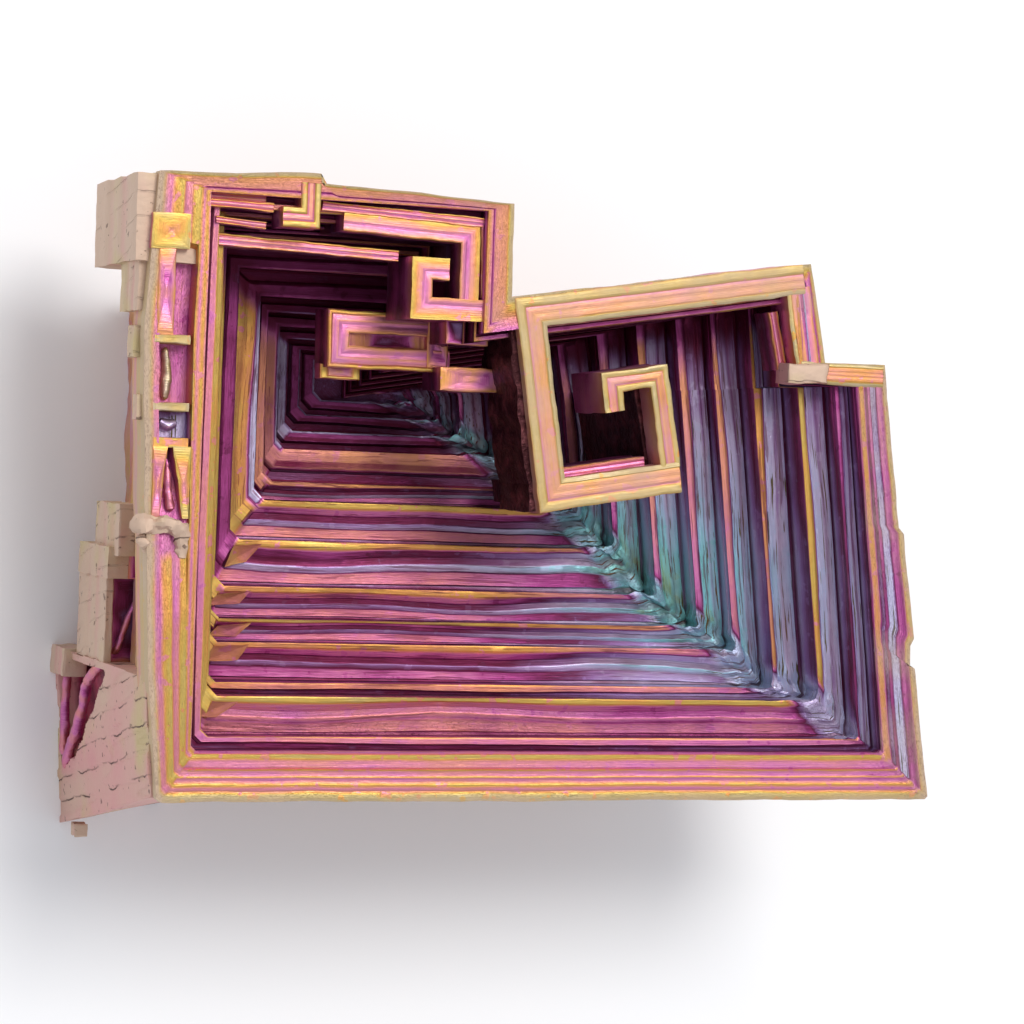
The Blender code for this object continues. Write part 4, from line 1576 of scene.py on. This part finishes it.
@dataclass
class RimRelief(SubAssembly):
    """Blocks and strips that stand between the hollows of the left rim."""

    blocks: tuple[Growth, ...] = (
        block("rim_block", (-27.0, -24.5), (14.55, 16.8), -0.06, 1.6, crown=BLOCK_CROWN, wall=PINK_WALL,
              seed=61.0, wear=0.08, dull=0.1),
        block("rim_bar", (-26.5, -25.35), (9.0, 14.7), 0.06, 1.7, crown=PINK_CROWN, wall=PINK_WALL, seed=62.0),
        block("rim_strip_a", (-26.6, -24.3), (8.55, 9.05), 0.03, 1.7, crown=PALE_CROWN, wall=PALE_WALL,
              seed=63.0, dull=0.4),
        block("rim_strip_b", (-26.5, -24.2), (4.25, 4.7), 0.05, 1.7, crown=PALE_CROWN, wall=PALE_WALL,
              seed=64.0, dull=0.4),
        block("rim_strip_c", (-26.4, -24.15), (1.9, 2.5), 0.05, 1.7, crown=BAND_CROWN, wall=PINK_WALL,
              seed=65.0, dull=0.2),
        Growth("rim_wedge_left", [(-26.4, -2.6), (-25.85, -2.6), (-25.45, 1.95), (-26.4, 1.95)], 0.03, 1.5,
               PINK_CROWN, PINK_WALL, seed=66.0),
        Growth("rim_wedge_right", [(-24.35, -2.6), (-23.95, -2.6), (-23.95, 1.95), (-25.1, 1.95)], 0.03, 1.5,
               BAND_CROWN, PINK_WALL, seed=67.0),
    )
    ridges: tuple[Branch, ...] = (
        Branch("rim_lump", ((-27.7, -3.3, -0.4), (-26.8, -3.0, -0.2), (-25.4, -3.0, -0.1), (-24.3, -3.3, -0.2),
                            (-24.2, -4.4, -0.3), (-24.3, -5.2, -0.5)), (0.45, 0.7, 0.6, 0.55, 0.42, 0.3), 0.5, 0.3,
               1.2, Finish.PALE),
        Branch("rim_lump_back", ((-27.2, -3.9, -0.5), (-26.6, -4.2, -0.4), (-26.3, -4.9, -0.6)), (0.4, 0.5, 0.3),
               0.6, 0.25, 1.2, Finish.PALE),
        Branch("hollow_glint_a", ((-25.6, 8.3, -1.2), (-25.4, 6.6, -1.35), (-25.5, 4.9, -1.3)), (0.2, 0.34, 0.3),
               0.4, 0.08),
        Branch("hollow_glint_b", ((-25.9, 3.6, -1.3), (-25.2, 3.3, -1.25), (-24.6, 3.5, -1.3)), (0.3, 0.4, 0.3),
               7.6, 0.1),
        Branch("hollow_vein", ((-25.4, 1.2, -0.7), (-25.3, -0.4, -0.6), (-25.0, -2.2, -0.5)), (0.12, 0.28, 0.35),
               4.4, 0.12),
    )

    def build(self) -> list[bpy.types.Object]:
        """Make the blocks and the ridges in the hollows."""
        return self.grow(self.blocks, self.ridges)


@dataclass
class LeftGrowths(SubAssembly):
    """Blocks that step outwards down the left side, the front one hollowed with a ridge inside."""

    top_outline: tuple[Point, ...] = ((-25.6, -20.6), (-24.6, -20.6), (-24.0, -20.5), (-23.8, -18.0),
                                      (-23.8, -12.9), (-26.0, -12.9))
    foot_outline: tuple[Point, ...] = ((-25.9, -25.6), (-21.5, -24.8), (-17.0, -24.0), (-15.5, -19.0),
                                       (-15.5, -12.9), (-26.6, -12.9))
    corner_ring: Ring = Ring((14, 14, 14, 14, 24, 64))
    corner_top: float = 0.9
    corner_loops: int = 96
    # The corner's hollow: how deep it is cut, and its front edge at each depth.
    hollow_cut: float = 1.5
    hollow_depths: tuple[float, ...] = (12.5, 15.0, 18.0, 21.0, 25.5)
    hollow_front: tuple[float, ...] = (-14.0, -15.5, -18.2, -20.4, -21.5)

    blocks: tuple[Growth, ...] = (
        block("side_block_back", (-27.9, -23.8), (13.7, 19.3), 0.6, 12.6, **PLASTER, seed=41.0, dull=0.5),
        block("side_block_middle", (-27.5, -26.2), (10.6, 14.1), 1.2, 6.2, **PLASTER, seed=42.0, dull=0.5),
        block("side_nub_upper", (-27.6, -26.3), (7.6, 9.6), 1.4, 3.2, **PLASTER, seed=45.0, dull=0.6),
        block("side_nub_lower", (-27.4, -26.3), (3.6, 5.2), 0.7, 2.0, **PLASTER, seed=46.0, dull=0.6),
        block("side_step_upper", (-25.9, -24.7), (-5.6, -2.1), 11.0, 18.2, **PLASTER, seed=43.0, dull=0.7),
        block("side_step_hollow", (-24.9, -20.5), (-5.6, -2.3), 11.5, 18.2, crown=PURPLE_CROWN, wall=DARK_WALL,
              seed=47.0),
        block("side_step_lower", (-26.3, -19.5), (-7.2, -5.0), 12.2, 21.5, **PLASTER, seed=44.0, dull=0.6),
        block("side_step_patch", (-24.9, -19.5), (-7.15, -5.1), 12.05, 15.0, crown=PURPLE_CROWN, wall=DARK_WALL,
              seed=48.0),
        block("side_recess", (-25.7, -19.5), (-12.9, -7.1), 13.6, 21.5, crown=PURPLE_CROWN, wall=DARK_WALL, seed=49.0,
              dull=-0.3),
        block("side_recess_wall", (-26.2, -25.7), (-12.9, -7.1), 12.9, 21.5, **PLASTER, seed=50.0, dull=0.6),
        block("corner_cap", (-26.9, -25.4), (-14.6, -12.7), 22.2, 26.5, **PLASTER, seed=51.0, wear=0.15, dull=0.5),
        block("corner_tab", (-25.6, -24.7), (-26.1, -25.2), 22.6, 24.0, **PLASTER, seed=52.0, dull=0.3),
    )
    veins: tuple[Branch, ...] = (
        Branch("vein_upper", ((-23.6, -7.9, -12.9), (-24.4, -9.4, -13.2), (-25.2, -12.0, -13.4),
                              (-26.0, -13.6, -16.0), (-26.1, -14.8, -18.4)), (0.3, 0.2, 0.24, 0.34, 0.42), 4.5, 0.08),
        Branch("vein_lower", ((-26.1, -14.6, -18.2), (-25.9, -16.6, -20.2), (-26.0, -18.6, -21.6),
                              (-26.0, -19.8, -23.4), (-26.0, -21.4, -24.4)), (0.42, 0.36, 0.42, 0.36, 0.55), 4.2,
               0.08),
        Branch("vein_side", ((-26.2, -14.6, -24.4), (-26.2, -17.0, -24.6), (-26.1, -20.6, -24.8)),
               (0.35, 0.3, 0.35), 4.5, 0.1),
    )

    def build(self) -> list[bpy.types.Object]:
        """Make the left side's pieces, the hollowed corner last."""
        return self.grow(self.blocks, self.veins) + [self.dress(self._corner(), Finish.PALE)]

    def _corner(self) -> bpy.types.Object:
        """Make the front corner, which spreads out towards its foot.

        Returns:
            The new object.
        """
        top = self.corner_ring.corners(list(self.top_outline))
        foot = self.corner_ring.corners(list(self.foot_outline))
        skin = Skin("corner_growth")
        rows = np.linspace(HEIGHT, self.corner_top + 0.05, self.corner_loops)
        for depth in np.concatenate((rows, (self.corner_top, self.corner_top))):
            share = (depth - self.corner_top) / (HEIGHT - self.corner_top)
            plan = top + (foot - top) * share
            out = outward(plan)
            low = np.full(len(plan), -depth)
            slanted = np.column_stack((plan[:, 1] * 0.06, low * 0.06, plan[:, 1] * 0.9 - low * 0.17))
            lines = steppy(ripple(slanted, 1.3, 51.0), 2.0, 0.9)
            left = np.where(plan[:, 0] < -25.0, 1.0, 0.0)
            hollow = self._hollow(plan[:, 1], depth) * left
            moved = plan + out * np.where(hollow > 0.02, 0.0, lines * 0.2)[:, None]
            moved[:, 0] += hollow * self.hollow_cut
            film = 3.5 + 0.8 * ripple(slanted, 2.2, 53.0) + 0.8 * lines
            film = film + smoothstep(0.25, 0.8, hollow) * (2.0 + 1.2 * ripple(lift(plan, low), 1.5, 54.0))
            skin.add(lift(moved, low), np.clip(film, 0, THICKEST), np.where(hollow > 0.3, 0.0, 0.75))
        return skin.build()

    def _hollow(self, y: np.ndarray, depth: float) -> np.ndarray:
        """How far into the hollow the left face is.

        Args:
            y: Plan y of each point.
            depth: Depth of the loop.

        Returns:
            0 outside to 1 on the hollow floor.
        """
        roof, floor = self.hollow_depths[0], self.hollow_depths[-1] + 0.1
        front = float(np.interp(depth, self.hollow_depths, self.hollow_front)) if depth > roof else 0.0
        ragged = 0.35 * steppy(np.sin(y * 3.1) + math.sin(depth * 2.3), 2)
        inside = smoothstep(-0.1, 0.3, y - front - 0.3 - 0.3 * ragged) * float(roof < depth < floor)
        return inside * smoothstep(0.1, 0.4, -13.3 - y)


# ---------------------------------------------------------------------------------------------
# Studio
# ---------------------------------------------------------------------------------------------


@dataclass(frozen=True)
class Lamp:
    """A square lamp that faces the crystal."""

    name: str
    at: tuple[float, float, float]
    size: float
    power: float
    colour: tuple[float, float, float] = (1.0, 1.0, 1.0)

    def hang(self) -> None:
        """Make the lamp."""
        light = bpy.data.lights.new(self.name, "AREA")
        light.energy, light.size, light.color = self.power, self.size, self.colour
        lamp = bpy.data.objects.new(self.name, light)
        bpy.context.scene.collection.objects.link(lamp)
        lamp.location = self.at
        lamp.rotation_euler = (-Vector(self.at)).to_track_quat("-Z", "Y").to_euler()


@dataclass
class Studio:
    """A pale table under soft daylight, seen from nearly overhead; places are in metres."""

    lamps: tuple[Lamp, ...] = (
        Lamp("key", (0.09, 0.24, 0.53), 0.2, 2.0, (1.0, 0.99, 0.97)),
        Lamp("overhead", (0.2, -0.01, 0.55), 0.34, 0.03),
    )
    table_size: float = 3.0
    table_grey: float = 0.94
    sky_colour: tuple[float, float, float, float] = (0.9, 0.93, 1.0, 1.0)
    sky_strength: float = 0.68
    camera_at: tuple[float, float, float] = (-0.07278, 0.00575, 0.21332)
    looks_along: tuple[float, float, float] = (0.34838, -0.02246, -0.93708)
    up: tuple[float, float, float] = (-0.02971, 0.99895, -0.03498)
    lens: float = 105.47

    def build(self) -> None:
        """Make the table, the sky, the lamps and the camera."""
        self._table()
        self._sky()
        for lamp in self.lamps:
            lamp.hang()
        self._camera()

    def _table(self) -> None:
        """Lay the table."""
        bpy.ops.mesh.primitive_plane_add(size=self.table_size)
        table = bpy.context.object
        table.name = "table"
        paper = bpy.data.materials.new("paper")
        paper.use_nodes = True
        shader = paper.node_tree.nodes["Principled BSDF"]
        shader.inputs["Base Color"].default_value = (self.table_grey, self.table_grey, self.table_grey, 1.0)
        shader.inputs["Roughness"].default_value = 0.9
        table.data.materials.append(paper)

    def _sky(self) -> None:
        """Light the sky."""
        world = bpy.data.worlds.new("sky")
        world.use_nodes = True
        bpy.context.scene.world = world
        back = world.node_tree.nodes["Background"]
        back.inputs["Color"].default_value = self.sky_colour
        back.inputs["Strength"].default_value = self.sky_strength

    def _camera(self) -> None:
        """Set the camera."""
        lens = bpy.data.cameras.new("camera")
        lens.lens, lens.sensor_width = self.lens, 36.0
        lens.clip_start, lens.clip_end = 0.01, 10.0
        camera = bpy.data.objects.new("camera", lens)
        bpy.context.scene.collection.objects.link(camera)
        back = -Vector(self.looks_along).normalized()
        side = Vector(self.up).cross(back).normalized()
        matrix = camera.matrix_world.to_3x3()
        for index, axis in enumerate((side, back.cross(side), back)):
            matrix.col[index] = axis
        camera.matrix_world = matrix.to_4x4()
        camera.location = self.camera_at
        bpy.context.scene.camera = camera


def main() -> None:
    """Build, finish and light the crystal."""
    bpy.context.scene.view_settings.view_transform = "Standard"
    for part in (HopperBody(), SpiralFrame(), BackHooks(), PitFacets(), RimRelief(), LeftGrowths()):
        for piece in part.build():
            LOG.info("%s: %d faces", piece.name, len(piece.data.polygons))
    Studio().build()
    bpy.context.view_layer.update()
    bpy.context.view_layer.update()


if __name__ == "__main__":
    logging.basicConfig(level=logging.INFO, format="%(message)s")
    main()
